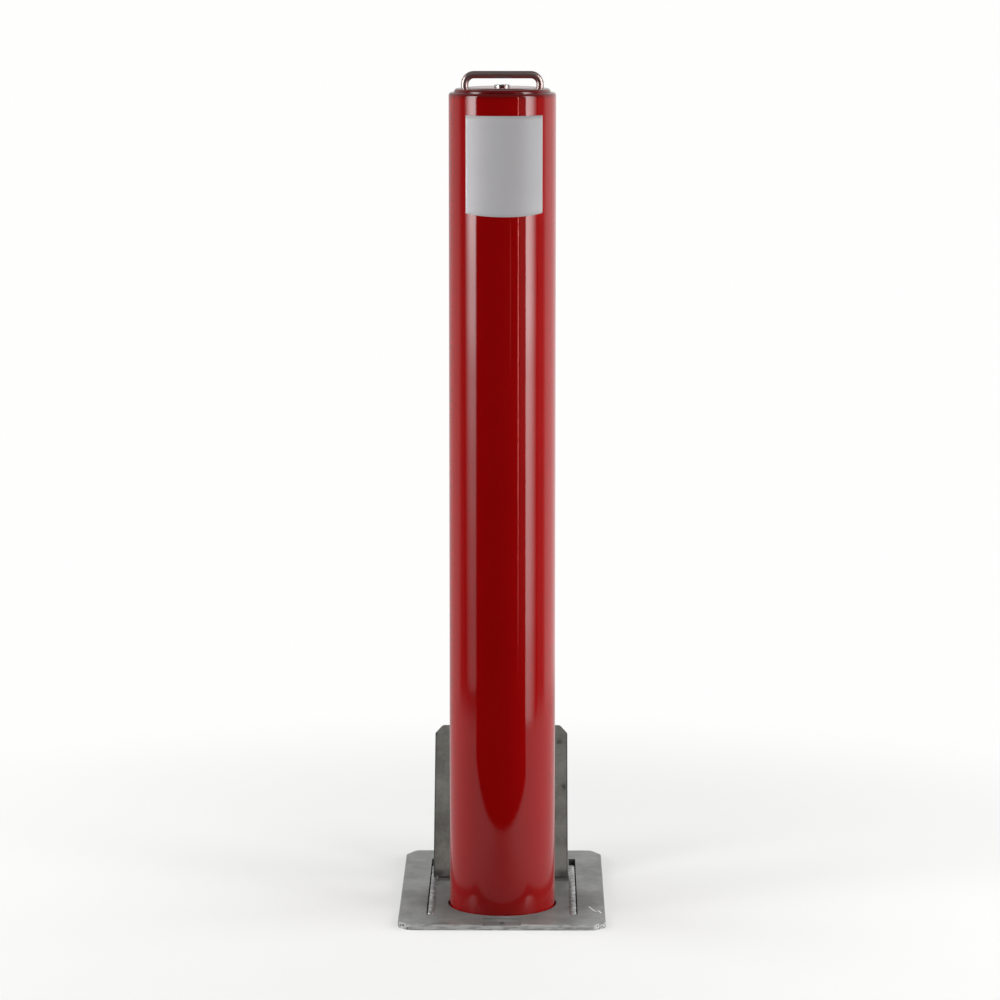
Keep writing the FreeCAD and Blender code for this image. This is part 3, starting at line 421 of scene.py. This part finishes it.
LATHE_LINES, DRAWN_CLOUDS = (300.0, 300.0, 2600.0), 60.0
DRAWN_DARK, DRAWN_BRIGHT = (0.42, 0.42, 0.41), (0.62, 0.62, 0.6)
bright_steel, shader, place = new_finish("bright_steel", Metallic=1.0)
lines = noise(stretched(place, LATHE_LINES), 1.0, 2.0)
feed(shader, {
    "Base Color": tint(noise(place, DRAWN_CLOUDS), DRAWN_DARK, DRAWN_BRIGHT),
    "Roughness": 0.2 + 0.18 * lines,
    "Normal": relief(lines, 0.01 * mm, 0.5),
})
for node in ("hinge_pin", "lock_nut", "rod_coupling", "coupling_pin", "lock_rod", "rod_collar",
             "latch_bar", "latch_pin", "handle_stops"):
    eased_copy(node, bright_steel)
for node in ("post_foot_disc", "lower_rod_guide", "upper_rod_guide", "guide_cups"):
    eased_copy(node, socket_steel)

# The post is a standard steel tube, its top edge rounded over, in deep red gloss paint. The paint
# was sprayed on and flowed out, so that it is mirror-like with a fine orange peel and a few nibs.

TURN_STEPS, ARC_STEPS = 256, 8
POST_WALL = 5.0 * mm
POST_EDGE = 3.5 * mm
# The third red is painted shade on the tube's rounded rim.
POST_REDS = (0.196, 0.0011, 0.0013), (0.226, 0.0015, 0.0017), (0.07, 0.002, 0.0025)
PAINT_CLOUDS, PEEL, FINE_PEEL, PAINT_RELIEF = 9.0, 260.0, 900.0, 0.2 * mm
NIBS, NIB_SIZE, NIB_PATCHES, NIB_FEW = 95.0, (0.06, 0.1, 1.0, 0.0), 70.0, (0.62, 0.64)
RIM_DARKENED, RIM_SHADE = (7.5 * mm, 1.0 * mm), 0.8
post_low, post_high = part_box("post_tube")
bore = post_high.x - POST_WALL


def rounded(corners):
    """Profile through corners given as (radius, height, rounding), with arcs for the roundings.

    The arc at a corner starts and ends at the rounding over the tangent of half its inner angle
    from it, and its points turn evenly about the centre on the corner's bisector.
    """
    points = []
    flat = np.array([corner[:2] for corner in corners])
    for index, (across, up, rounding) in enumerate(corners):
        corner = np.array((across, up))
        if not rounding:
            points.append(corner)
            continue
        before = flat[index - 1] - corner
        after = flat[(index + 1) % len(flat)] - corner
        before, after = before / np.linalg.norm(before), after / np.linalg.norm(after)
        half = math.acos(np.clip(before @ after, -1, 1)) / 2
        bisector = (before + after) / np.linalg.norm(before + after)
        centre = corner + bisector * rounding / math.sin(half)
        start = corner + before * rounding / math.tan(half) - centre
        end = corner + after * rounding / math.tan(half) - centre
        share = np.linspace(0, 1, ARC_STEPS + 1)[:, None]
        sweep = math.acos(np.clip(start @ end / rounding ** 2, -1, 1))
        arc = (np.sin((1 - share) * sweep) * start + np.sin(share * sweep) * end) / math.sin(sweep)
        points.extend(centre + arc)
    return np.array(points)


def turned(name, corners, closed):
    """Piece turned on the post's axis: each profile point carried round in a circle.

    The point at radius r and turn t lies at (r cos t, r sin t). A closed profile is a ring.
    """
    profile = rounded(corners)
    if closed:
        profile = np.vstack([profile, profile[:1]])
    turn = np.linspace(0, 2 * np.pi, TURN_STEPS, endpoint=False)
    radius, height = profile[:, :1], profile[:, 1:]
    points = np.stack([radius * np.cos(turn), radius * np.sin(turn),
                       np.broadcast_to(height, (len(profile), TURN_STEPS))], -1)
    return closed_grid(name, points)


def gloss_paint(name, reds, dullness, darkened):
    """Sprayed gloss: nearly even red, mirror-like, with orange peel and a few nibs.

    The first two reds are those that its clouds go between. The third is a darker red for painted
    shade, which shows where the darkened wire goes to 1.
    """
    material, shader, place = new_finish(name, IOR=1.5)
    cloud = noise(place, PAINT_CLOUDS, 2.0)
    peel = noise(place, PEEL, 2.0) * 0.7 + noise(place, FINE_PEEL, 1.0) * 0.3
    nibs = place.node("ShaderNodeTexVoronoi", {}, {"Vector": place, "Scale": NIBS})
    nib = step(nibs, *NIB_SIZE) * step(noise(place, NIB_PATCHES), *NIB_FEW)
    feed(shader, {
        "Base Color": tint(darkened(place), tint(cloud, reds[0], reds[1]), reds[2]),
        "Roughness": dullness + 0.03 * step(cloud, 0.4, 0.7),
        "Normal": relief(peel * 0.12 + nib * 0.3, PAINT_RELIEF),
    })
    return material


def rim_shade(place):
    """Mask of painted shade over the tube's rounded rim."""
    start, end = (post_high.z - below for below in RIM_DARKENED)
    return step(along(place, "Z"), start, end, 0.0, RIM_SHADE)


post_tube = turned("post_tube_paint", (
    (post_high.x, post_low.z, 0.0),
    (post_high.x, post_high.z, POST_EDGE),
    (bore, post_high.z, 0.0),
    (bore, post_low.z, 0.0),
), closed=True)
stand_for(post_tube, gloss_paint("post_paint", POST_REDS, 0.035, rim_shade), "post_tube")

# The cap is turned from thick plate and welded into the tube's mouth below a narrow groove. Its
# middle is flat, its border falls off to a round shoulder, and it has the post's red paint. Its
# flat middle is painted a lighter red as painted light, and its border a darker red as painted
# shade.

GROOVE, LEDGE_DROP = 0.9 * mm, 3.0 * mm
CAP_FLAT, CAP_EASE = 36.5 * mm, 12.0 * mm
CAP_FALL, CAP_SHOULDER = 1.7 * mm, 3.2 * mm
CAP_DARKENED = -3.0 * mm, 2.0 * mm
# The cap's reds: a lighter flat as painted light, and a darker border red as painted shade.
CAP_REDS = (0.24, 0.0018, 0.002), (0.27, 0.0022, 0.0024), (0.105, 0.0017, 0.002)
LEG, LEG_GAP = 4.0 * mm, 0.3 * mm
BARREL, TURN_GAP = 7.0 * mm, 0.08 * mm
DRILL_BOTTOM, DRILL_TOP, DRILL_ROUND = -1.0, 2.0, 64
cap_low, cap_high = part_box("top_cap")
cap_head = bore - GROOVE
cap_ledge = post_high.z - LEDGE_DROP
leg_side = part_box("lift_handle")[1].x - LEG


def bored(piece, holes):
    """Cut upright round holes, each given as (x, radius), right through a piece.

    A drill is two rings at x + r cos t and r sin t, one far below and one far above the piece,
    closed at both ends on its axis.
    """
    turn = np.linspace(0, 2 * np.pi, DRILL_ROUND, endpoint=False)
    for x, radius in holes:
        ring = np.stack([x + radius * np.cos(turn), radius * np.sin(turn), 0 * turn], -1)
        axis = np.broadcast_to((x, 0.0, 0.0), ring.shape)
        rows = [axis + (0, 0, DRILL_BOTTOM), ring + (0, 0, DRILL_BOTTOM),
                ring + (0, 0, DRILL_TOP), axis + (0, 0, DRILL_TOP)]
        drill = closed_grid("drill", np.array(rows))
        cut = piece.modifiers.new("bore", "BOOLEAN")
        cut.operation = "DIFFERENCE"
        cut.solver = "EXACT"
        cut.object = drill
        graph = bpy.context.evaluated_depsgraph_get()
        mesh = bpy.data.meshes.new_from_object(piece.evaluated_get(graph))
        piece.modifiers.clear()
        piece.data = mesh
        bpy.data.objects.remove(drill)
    piece.data.set_sharp_from_angle(angle=CREASE_ANGLE)


def border_shade(place):
    """Mask of painted shade on the cap's falling border, outside its flat middle."""
    start, end = (CAP_FLAT + past for past in CAP_DARKENED)
    return step(span(along(place, "X"), along(place, "Y")), start, end)


top_cap = turned("top_cap_paint", (
    (0.0, cap_low.z, 0.0),
    (cap_high.x, cap_low.z, 0.0),
    (cap_high.x, cap_ledge, 0.0),
    (cap_head, cap_ledge, 0.0),
    (cap_head, cap_high.z - CAP_FALL, CAP_SHOULDER),
    (CAP_FLAT, cap_high.z, CAP_EASE),
    (0.0, cap_high.z, 0.0),
), closed=False)
bored(top_cap, ((0.0, BARREL + TURN_GAP), (leg_side, LEG + LEG_GAP), (-leg_side, LEG + LEG_GAP)))
stand_for(top_cap, gloss_paint("cap_paint", CAP_REDS, 0.14, border_shade), "top_cap")

# The lock is a plated cylinder lock whose flange sits on the cap, held by a nut below it. The
# plug inside turns, and its keyway is a plain dark slot.

PLUG = 5.0 * mm
PLUG_EDGE = 0.15 * mm
FLANGE_EDGE, MOUTH_EDGE = 1.2 * mm, 0.3 * mm
PLATED_DARK, PLATED_BRIGHT = (0.5, 0.47, 0.46), (0.66, 0.63, 0.62)
PLATED_CLOUDS, PLATED_SPOTS, PLATED_GRAIN = 400.0, 700.0, 1500.0
lock_low, lock_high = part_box("lock_body")
cap_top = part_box("top_cap")[1].z
lock_body = turned("lock_body_plated", (
    (PLUG + TURN_GAP, lock_low.z, 0.0),
    (BARREL, lock_low.z, 0.0),
    (BARREL, cap_top, 0.0),
    (lock_high.x, cap_top, 0.0),
    (lock_high.x, lock_high.z, FLANGE_EDGE),
    (PLUG + TURN_GAP, lock_high.z, MOUTH_EDGE),
), closed=True)
lock_chrome, shader, place = new_finish("lock_chrome", Metallic=1.0)
feed(shader, {
    "Base Color": tint(noise(place, PLATED_CLOUDS), PLATED_DARK, PLATED_BRIGHT),
    "Roughness": 0.18 + 0.12 * noise(place, PLATED_SPOTS),
    "Normal": relief(noise(place, PLATED_GRAIN), 0.01 * mm, 0.4),
})
stand_for(lock_body, lock_chrome, "lock_body")
eased_copy("lock_plug", lock_chrome, PLUG_EDGE)

# The lifting handle is 8 mm round stainless bar, bent twice and polished. Both legs go down
# through the cap, and square nuts on their feet stop it when it is drawn up.

BAR_ROUND, BEND_STEPS = 40, 20
BEND = 10.0 * mm
RUB_LINES, BAR_CLOUDS = (90.0, 700.0, 700.0), 120.0
# The bar's colours are tinted red: a painted reflection of the red cap and post.
BAR_DARK, BAR_BRIGHT = (0.41, 0.32, 0.31), (0.5, 0.41, 0.395)
bar_low, bar_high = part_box("lift_handle")


def bent_bar(name):
    """Round bar along a centre line of leg, quarter bend, bar, quarter bend and leg.

    Round each centre point lie points at the bar's radius, along the line's own normal in the
    upright plane times cos t plus the Y axis times sin t. The feet close at the centre line.
    """
    top = bar_high.z - LEG
    quarter = np.linspace(0, np.pi / 2, BEND_STEPS)
    left = np.stack([-leg_side + BEND - BEND * np.cos(quarter),
                     top - BEND + BEND * np.sin(quarter)], -1)
    right = (left * (-1, 1))[::-1]
    line = np.vstack([[(-leg_side, bar_low.z)], left, right, [(leg_side, bar_low.z)]])
    outward = np.stack([-np.cos(quarter), np.sin(quarter)], -1)
    normal = np.vstack([[(-1, 0)], outward, (outward * (-1, 1))[::-1], [(1, 0)]])
    turn = np.linspace(0, 2 * np.pi, BAR_ROUND, endpoint=False)
    across = line[:, :1] + LEG * normal[:, :1] * np.cos(turn)
    up = line[:, 1:] + LEG * normal[:, 1:] * np.cos(turn)
    forward = np.broadcast_to(LEG * np.sin(turn), across.shape)
    rings = np.stack([across, forward, up], -1)
    feet = [np.broadcast_to((x, 0.0, bar_low.z), (1, BAR_ROUND, 3)) for x in (-leg_side, leg_side)]
    return closed_grid(name, np.concatenate([feet[0], rings, feet[1]]))


polished, shader, place = new_finish("polished_handle", Metallic=0.92)
rubs = noise(stretched(place, RUB_LINES), 1.0, 2.0)
feed(shader, {
    "Base Color": tint(noise(place, BAR_CLOUDS), BAR_DARK, BAR_BRIGHT),
    "Roughness": 0.27 + 0.06 * rubs,
    "Normal": relief(rubs, 0.02 * mm, 0.08),
})
stand_for(bent_bar("lift_handle_bar"), polished, "lift_handle")

# The label is a plain silver-grey vinyl sticker, wrapped round the tube's front below the rim.
# It is left bare, and its lower edge bows down a little in the middle.

LABEL_LEFT, LABEL_RIGHT = math.radians(-42.0), math.radians(48.0)
LABEL_TOP, LABEL_BOTTOM = 865.8 * mm, 763.0 * mm
LABEL_BOW, LABEL_THICK, LABEL_FADE = 3.2 * mm, 0.12 * mm, 36.0 * mm
LABEL_COLUMNS, LABEL_ROWS = 60, 24
LABEL_LIT, LABEL_SHADED = (0.455, 0.443, 0.458), (0.268, 0.264, 0.271)
LABEL_WEAVE, LABEL_WAVES, LABEL_CLOUDS = 1400.0, 40.0, 30.0


def wrapped_label(name, radius):
    """Thin sheet on the tube: the point at turn t and height z is (R sin t, -R cos t, z).

    The height runs between top and a bottom that drops by the bow times 1 minus the square of
    the share from the middle to the side. The outer rows are repeated just inside the tube.
    """
    share_across = np.concatenate([[0], np.linspace(0, 1, LABEL_COLUMNS), [1]])
    share_up = np.concatenate([[0], np.linspace(0, 1, LABEL_ROWS), [1]])
    turn = LABEL_LEFT + (LABEL_RIGHT - LABEL_LEFT) * share_across
    bottom = LABEL_BOTTOM - LABEL_BOW * (1 - (2 * share_across - 1) ** 2)
    height = bottom[None] + (LABEL_TOP - bottom[None]) * share_up[:, None]
    lift = np.full(height.shape, LABEL_THICK)
    lift[[0, -1]] = -LABEL_THICK
    lift[:, [0, -1]] = -LABEL_THICK
    reach = radius + lift
    points = np.stack([reach * np.sin(turn), -reach * np.cos(turn), height], -1)
    rows, columns = height.shape
    row, column = np.meshgrid(np.arange(rows - 1), np.arange(columns - 1), indexing="ij")
    first = row * columns + column
    faces = np.stack([first, first + 1, first + columns + 1, first + columns], -1).reshape(-1, 4)
    mesh = bpy.data.meshes.new(name)
    mesh.from_pydata(points.reshape(-1, 3).tolist(), [], faces.tolist())
    mesh.shade_smooth()
    return add_object(name, mesh)


label = wrapped_label("bare_label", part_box("post_tube")[1].x)
label_vinyl, shader, place = new_finish("label_vinyl", IOR=1.28)
weave = noise(place, LABEL_WEAVE, 2.0)
shading = step(along(place, "X"), -LABEL_FADE, LABEL_FADE) * 0.85
shading = shading + noise(place, LABEL_CLOUDS) * 0.15
feed(shader, {
    "Base Color": tint(shading, LABEL_LIT, LABEL_SHADED),
    "Roughness": 0.42 + 0.08 * weave,
    "Normal": relief(weave * 0.3 + noise(place, LABEL_WAVES) * 0.7, 0.05 * mm, 0.5),
})
label.data.materials.append(label_vinyl)
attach(label, "post")

# The floor is pale paper with a dark pit under the plate, which the socket hangs in. Beyond the
# part it fades to the plain background. Gloss on the part sees a lit sheet near by, dimmer at the
# plate and behind it, and the studio's walls further off.

FLOOR_REACH = 14.0
PIT_MARGIN, PIT_DEPTH = 10.0 * mm, 0.36
BACKGROUND, BACKGROUND_TINT = 0.99, (1.0, 1.003, 0.995)
WHITE, PAPER_WHITE = (1.0, 1.0, 1.0), (0.68, 0.685, 0.676, 1.0)
EARTH_DARK, EARTH_LIGHT, EARTH_CLODS = (0.02, 0.018, 0.016), (0.05, 0.045, 0.04), 80.0
RIGHT_HEADING, LEFT_HEADING, LINE_FADE = (0.643, 0.766), (-0.559, 0.829), (0.0, 0.05)
# Where a smooth step over the floor starts and ends, in metres, then the values it goes between.
FLOOR_FADE = 0.12, 1.1, 0.3, 1.0
FRONT_EDGE, SHEET_EDGE = (-0.575, -0.525), (1.2, 1.6, 1.0, 0.0)
SHEET_LEFT, SHEET_RIGHT = (-0.3, 0.0, 0.54, 0.32), (0.0, 0.3, 0.0, 0.4)
SHEET_MIDDLE, SHEET_BACK = (0.12, 0.3, 0.35, 0.0), (0.1, 0.3)
SHADE_SIDE, SHADE_FRONT, SHADE = (0.16, 0.2), (-0.152, -0.138, 1.0, 0.0), 0.7
# The same for the walls, by the X or Y of a heading. Each has its light on the left, and how much
# more it has on the right.
LEFT_TO_RIGHT, SIDE_WALL, BACK_WALL = (-0.4, 0.4), (-0.25, -0.1), (0.12, 0.34)
SIDE_LIGHT, SIDE_MORE, BACK_LIGHT, BACK_MORE = 0.1, 0.08, 0.46, 0.4


def rectangle(left, right, front, back, height):
    """Four corners of a level rectangle, from its left front corner and anticlockwise."""
    return [(left, front, height), (right, front, height), (right, back, height),
            (left, back, height)]


def plain_light(wire, colour, strength):
    """Emission of one colour, with a strength that may be a wire."""
    return wire.node("ShaderNodeEmission", {}, {"Color": (*colour, 1.0), "Strength": strength})


def either(factor, shader, other):
    """First shader where the factor is 0 and the other where it is 1."""
    return factor.node("ShaderNodeMixShader", {}, {0: factor, 1: shader, 2: other})


def ray_kinds(wire):
    """Two masks: of rays from the camera, straight or through glass, and of mirrored rays."""
    straight, through, mirrored = (
        wire.node("ShaderNodeLightPath", {}, {}, kind)
        for kind in ("Is Camera Ray", "Is Transmission Ray", "Is Glossy Ray"))
    return straight + through, mirrored


def wall_light(heading):
    """Brightness of the walls in a heading: pale behind, dim beside and dark in front.

    The right wall is the brighter one.
    """
    side = step(along(heading, "X"), *LEFT_TO_RIGHT)
    beside = step(along(heading, "Y"), *SIDE_WALL) * (SIDE_LIGHT + SIDE_MORE * side)
    return beside + step(along(heading, "Y"), *BACK_WALL) * (BACK_LIGHT + BACK_MORE * side)


def beyond(place, heading):
    """Mask of the floor on the heading's side of a line through the post's axis."""
    return step(along(place, "X") * heading[0] + along(place, "Y") * heading[1], *LINE_FADE)


plate_low, plate_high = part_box("ground_plate")
pit = (plate_low.x + PIT_MARGIN, plate_high.x - PIT_MARGIN, plate_low.y + PIT_MARGIN,
       plate_high.y - PIT_MARGIN)
corners = (rectangle(-FLOOR_REACH, FLOOR_REACH, -FLOOR_REACH, FLOOR_REACH, 0.0)
           + rectangle(*pit, 0.0) + rectangle(*pit, -PIT_DEPTH))
sides = [(corner, (corner + 1) % 4) for corner in range(4)]
paper_faces = [(here, there, there + 4, here + 4) for here, there in sides]
pit_faces = [(here + 4, there + 4, there + 8, here + 8) for here, there in sides]
pit_faces.append((8, 9, 10, 11))
mesh = bpy.data.meshes.new("floor")
mesh.from_pydata(corners, [], paper_faces + pit_faces)
mesh.polygons.foreach_set("material_index",
                          np.array([0] * len(paper_faces) + [1] * len(pit_faces)))
floor = add_object("floor", mesh)

paper = bpy.data.materials.new("paper")
paper.use_nodes = True
tree = paper.node_tree
tree.nodes.remove(tree.nodes["Principled BSDF"])
place = Wire(tree, tree.nodes.new("ShaderNodeTexCoord").outputs["Object"])
across, forward = along(place, "X"), along(place, "Y")
seen, mirrored = ray_kinds(place)
distance = place.node("ShaderNodeVectorMath", {"operation": "LENGTH"}, {0: place}, "Value")
heading = place.node("ShaderNodeVectorMath", {"operation": "NORMALIZE"}, {0: place})
dark_front = ((1 - step(forward, *FRONT_EDGE)) * (1 - beyond(place, RIGHT_HEADING))
              * (1 - beyond(place, LEFT_HEADING)))
near = (1 - dark_front) * step(distance, *SHEET_EDGE)
sheet = (step(across, *SHEET_LEFT) + step(across, *SHEET_RIGHT)
         + step(abs(across), *SHEET_MIDDLE) * step(forward, *SHEET_BACK))
shade = 1 - SHADE * (1 - step(abs(across), *SHADE_SIDE)) * (1 - step(forward, *SHADE_FRONT))
reflected = near * sheet * shade + (1 - near) * wall_light(heading)
card = place.node("ShaderNodeBsdfDiffuse", {}, {"Color": PAPER_WHITE})
far = plain_light(place, BACKGROUND_TINT, BACKGROUND)
shown = either(seen * step(distance, *FLOOR_FADE), card, far)
shown = either(mirrored, shown, plain_light(place, WHITE, reflected))
tree.links.new(shown.socket, tree.nodes["Material Output"].inputs["Surface"])
mesh.materials.append(paper)
earth, shader, place = new_finish("earth", Roughness=0.9)
feed(shader, {"Base Color": tint(noise(place, EARTH_CLODS), EARTH_DARK, EARTH_LIGHT)})
mesh.materials.append(earth)

# Two tall soft panels light the post from the left and the right, which makes its pale stripes,
# and dim towards the floor. A dim strip and two slits beside the camera show in the gloss alone,
# and draw the fine lines on the paint.

LAMP_FOOT = 0.01
SLIT_RED = (1.0, 0.36, 0.31)


def panel(name, turns, fades, away, glow, colour=WHITE, only_mirrored=False):
    """Upright lamp between two turns from the front about the post, its light set by height.

    The glow is a list of (height, brightness) steps, and the light goes smoothly between them.
    It fades in and out over the given shares of the lamp's width.
    """
    start, end = [(away * math.sin(turn), -away * math.cos(turn))
                  for turn in map(math.radians, turns)]
    top = glow[-1][0]
    mesh = bpy.data.meshes.new(name)
    mesh.from_pydata([(*start, LAMP_FOOT), (*end, LAMP_FOOT), (*end, top), (*start, top)], [],
                     [(0, 1, 2, 3)])
    lit = bpy.data.materials.new(name)
    lit.use_nodes = True
    tree = lit.node_tree
    tree.nodes.remove(tree.nodes["Principled BSDF"])
    place = Wire(tree, tree.nodes.new("ShaderNodeTexCoord").outputs["Object"])
    (foot, dimmest), (knee, dim) = glow[:2]
    strength = step(along(place, "Z"), foot, knee, dimmest, dim)
    for (low, before), (high, after) in zip(glow[1:], glow[2:]):
        strength = strength + step(along(place, "Z"), low, high, 0.0, after - before)
    width = (end[0] - start[0], end[1] - start[1])
    squared = width[0] ** 2 + width[1] ** 2
    share = ((along(place, "X") - start[0]) * (width[0] / squared)
             + (along(place, "Y") - start[1]) * (width[1] / squared))
    strength = strength * step(share, 0.0, fades[0]) * step(share, 1 - fades[1], 1.0, 1.0, 0.0)
    light = plain_light(place, colour, strength)
    tree.links.new(light.socket, tree.nodes["Material Output"].inputs["Surface"])
    mesh.materials.append(lit)
    lamp = add_object(name, mesh)
    lamp.visible_camera = False
    if only_mirrored:
        lamp.visible_diffuse = False
        lamp.visible_shadow = False
    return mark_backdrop(lamp)


panel("left_panel", turns=(-88.0, -55.0), fades=(0.6, 0.16), away=1.6,
      glow=[(0.0, 0.75), (0.12, 0.9), (0.22, 1.15), (0.34, 1.7), (0.49, 2.8), (0.607, 5.3),
            (0.8, 8.5), (1.8, 8.9)])
panel("right_panel", turns=(50.0, 80.0), fades=(0.05, 0.8), away=1.3,
      glow=[(0.0, 2.3), (0.1, 2.9), (0.18, 3.9), (0.27, 4.5), (0.38, 5.0), (0.515, 5.9),
            (0.626, 8.2), (1.8, 8.4)])
panel("dim_strip", turns=(36.5, 50.0), fades=(0.1, 0.03), away=1.35,
      glow=[(0.0, 0.0), (0.3, 0.1), (0.6, 0.2), (1.8, 0.25)], only_mirrored=True)
panel("thin_slit", turns=(33.0, 35.0), fades=(0.3, 0.3), away=1.5,
      glow=[(0.0, 0.0), (0.06, 0.3), (0.16, 2.6), (0.26, 4.0), (0.38, 8.0), (0.6, 9.5),
            (1.8, 12.0)], colour=SLIT_RED, only_mirrored=True)
panel("faint_slit", turns=(16.8, 18.0), fades=(0.3, 0.3), away=1.5,
      glow=[(0.0, 0.0), (0.5, 0.0), (0.62, 1.8), (0.72, 1.8), (0.8, 0.0)],
      colour=SLIT_RED, only_mirrored=True)

# Three square soft boxes fill the shadows: one overhead, and one low on each side. They light the
# part, but don't show in its gloss.

POST_MIDDLE = (0.0, 0.0, 0.42)


def soft_box(name, size, power, spread, place, aim):
    """Square area lamp at a place, aimed at a point, with its spread in degrees."""
    light = bpy.data.lights.new(name, "AREA")
    light.shape = "SQUARE"
    light.size = size
    light.energy = power
    light.spread = math.radians(spread)
    lamp = add_object(name, light)
    lamp.location = place
    lamp.rotation_euler = (Vector(place) - Vector(aim)).to_track_quat("Z", "Y").to_euler()
    lamp.visible_camera = False
    lamp.visible_glossy = False


soft_box("overhead", size=2.4, power=3.0, spread=180.0, place=(0.0, -0.1, 2.6),
         aim=(0.0, -0.1, 0.0))
soft_box("left_fill", size=0.8, power=6.0, spread=110.0, place=(-1.15, 0.4, 0.5),
         aim=POST_MIDDLE)
soft_box("right_fill", size=0.8, power=6.5, spread=110.0, place=(1.2, 0.05, 0.5),
         aim=POST_MIDDLE)

# The studio round it is plain: white to the camera, a pale wall behind that shows in the gloss,
# brighter on the right, and darkness in front with a faint glow high up.

# Where a smooth step over a heading starts and ends, then the values it goes between.
GLOW_FOOT, GLOW_TOP = (0.4, 0.6, 0.0, 0.2), (0.8, 0.97, 1.0, 0.3)
WALL_TOP, AMBIENT = (0.35, 0.75, 1.0, 0.2), (-0.6, 0.5, 0.26, 0.46)
world = bpy.data.worlds.new("studio")
bpy.context.scene.world = world
world.use_nodes = True
tree = world.node_tree
heading = Wire(tree, tree.nodes.new("ShaderNodeTexCoord").outputs["Generated"])
seen, mirrored = ray_kinds(heading)
up = along(heading, "Z")
high_glow = step(up, *GLOW_FOOT) * step(up, *GLOW_TOP)
wall = wall_light(heading) * step(up, *WALL_TOP)
wall = wall.node("ShaderNodeMath", {"operation": "MAXIMUM"}, {0: wall, 1: high_glow})
ambient = step(along(heading, "Y"), *AMBIENT)
strength = seen * BACKGROUND + (1 - seen) * (mirrored * wall + (1 - mirrored) * ambient)
backdrop = tree.nodes["Background"]
backdrop.inputs["Color"].default_value = (*BACKGROUND_TINT, 1.0)
tree.links.new(strength.socket, backdrop.inputs["Strength"])

# The camera stands 4.2 m in front of the post, a little above its top, and looks down by 8.5
# degrees. Its focal length is given in pixels of the photograph.

PICTURE, SENSOR = 1000, 36.0
FOCAL_PIXELS = 3946.9
CAMERA_PLACE = (0.0315, -4.2032, 1.0814)
PITCH_DOWN, TURN_LEFT = 0.1489, 0.0081
camera = bpy.data.cameras.new("camera")
camera.sensor_width = SENSOR
camera.lens = SENSOR * FOCAL_PIXELS / PICTURE
viewer = add_object("camera", camera)
viewer.location = CAMERA_PLACE
viewer.rotation_euler = (math.pi / 2 - PITCH_DOWN, 0.0, TURN_LEFT)
bpy.context.scene.camera = viewer
bpy.context.scene.view_settings.view_transform = "Standard"
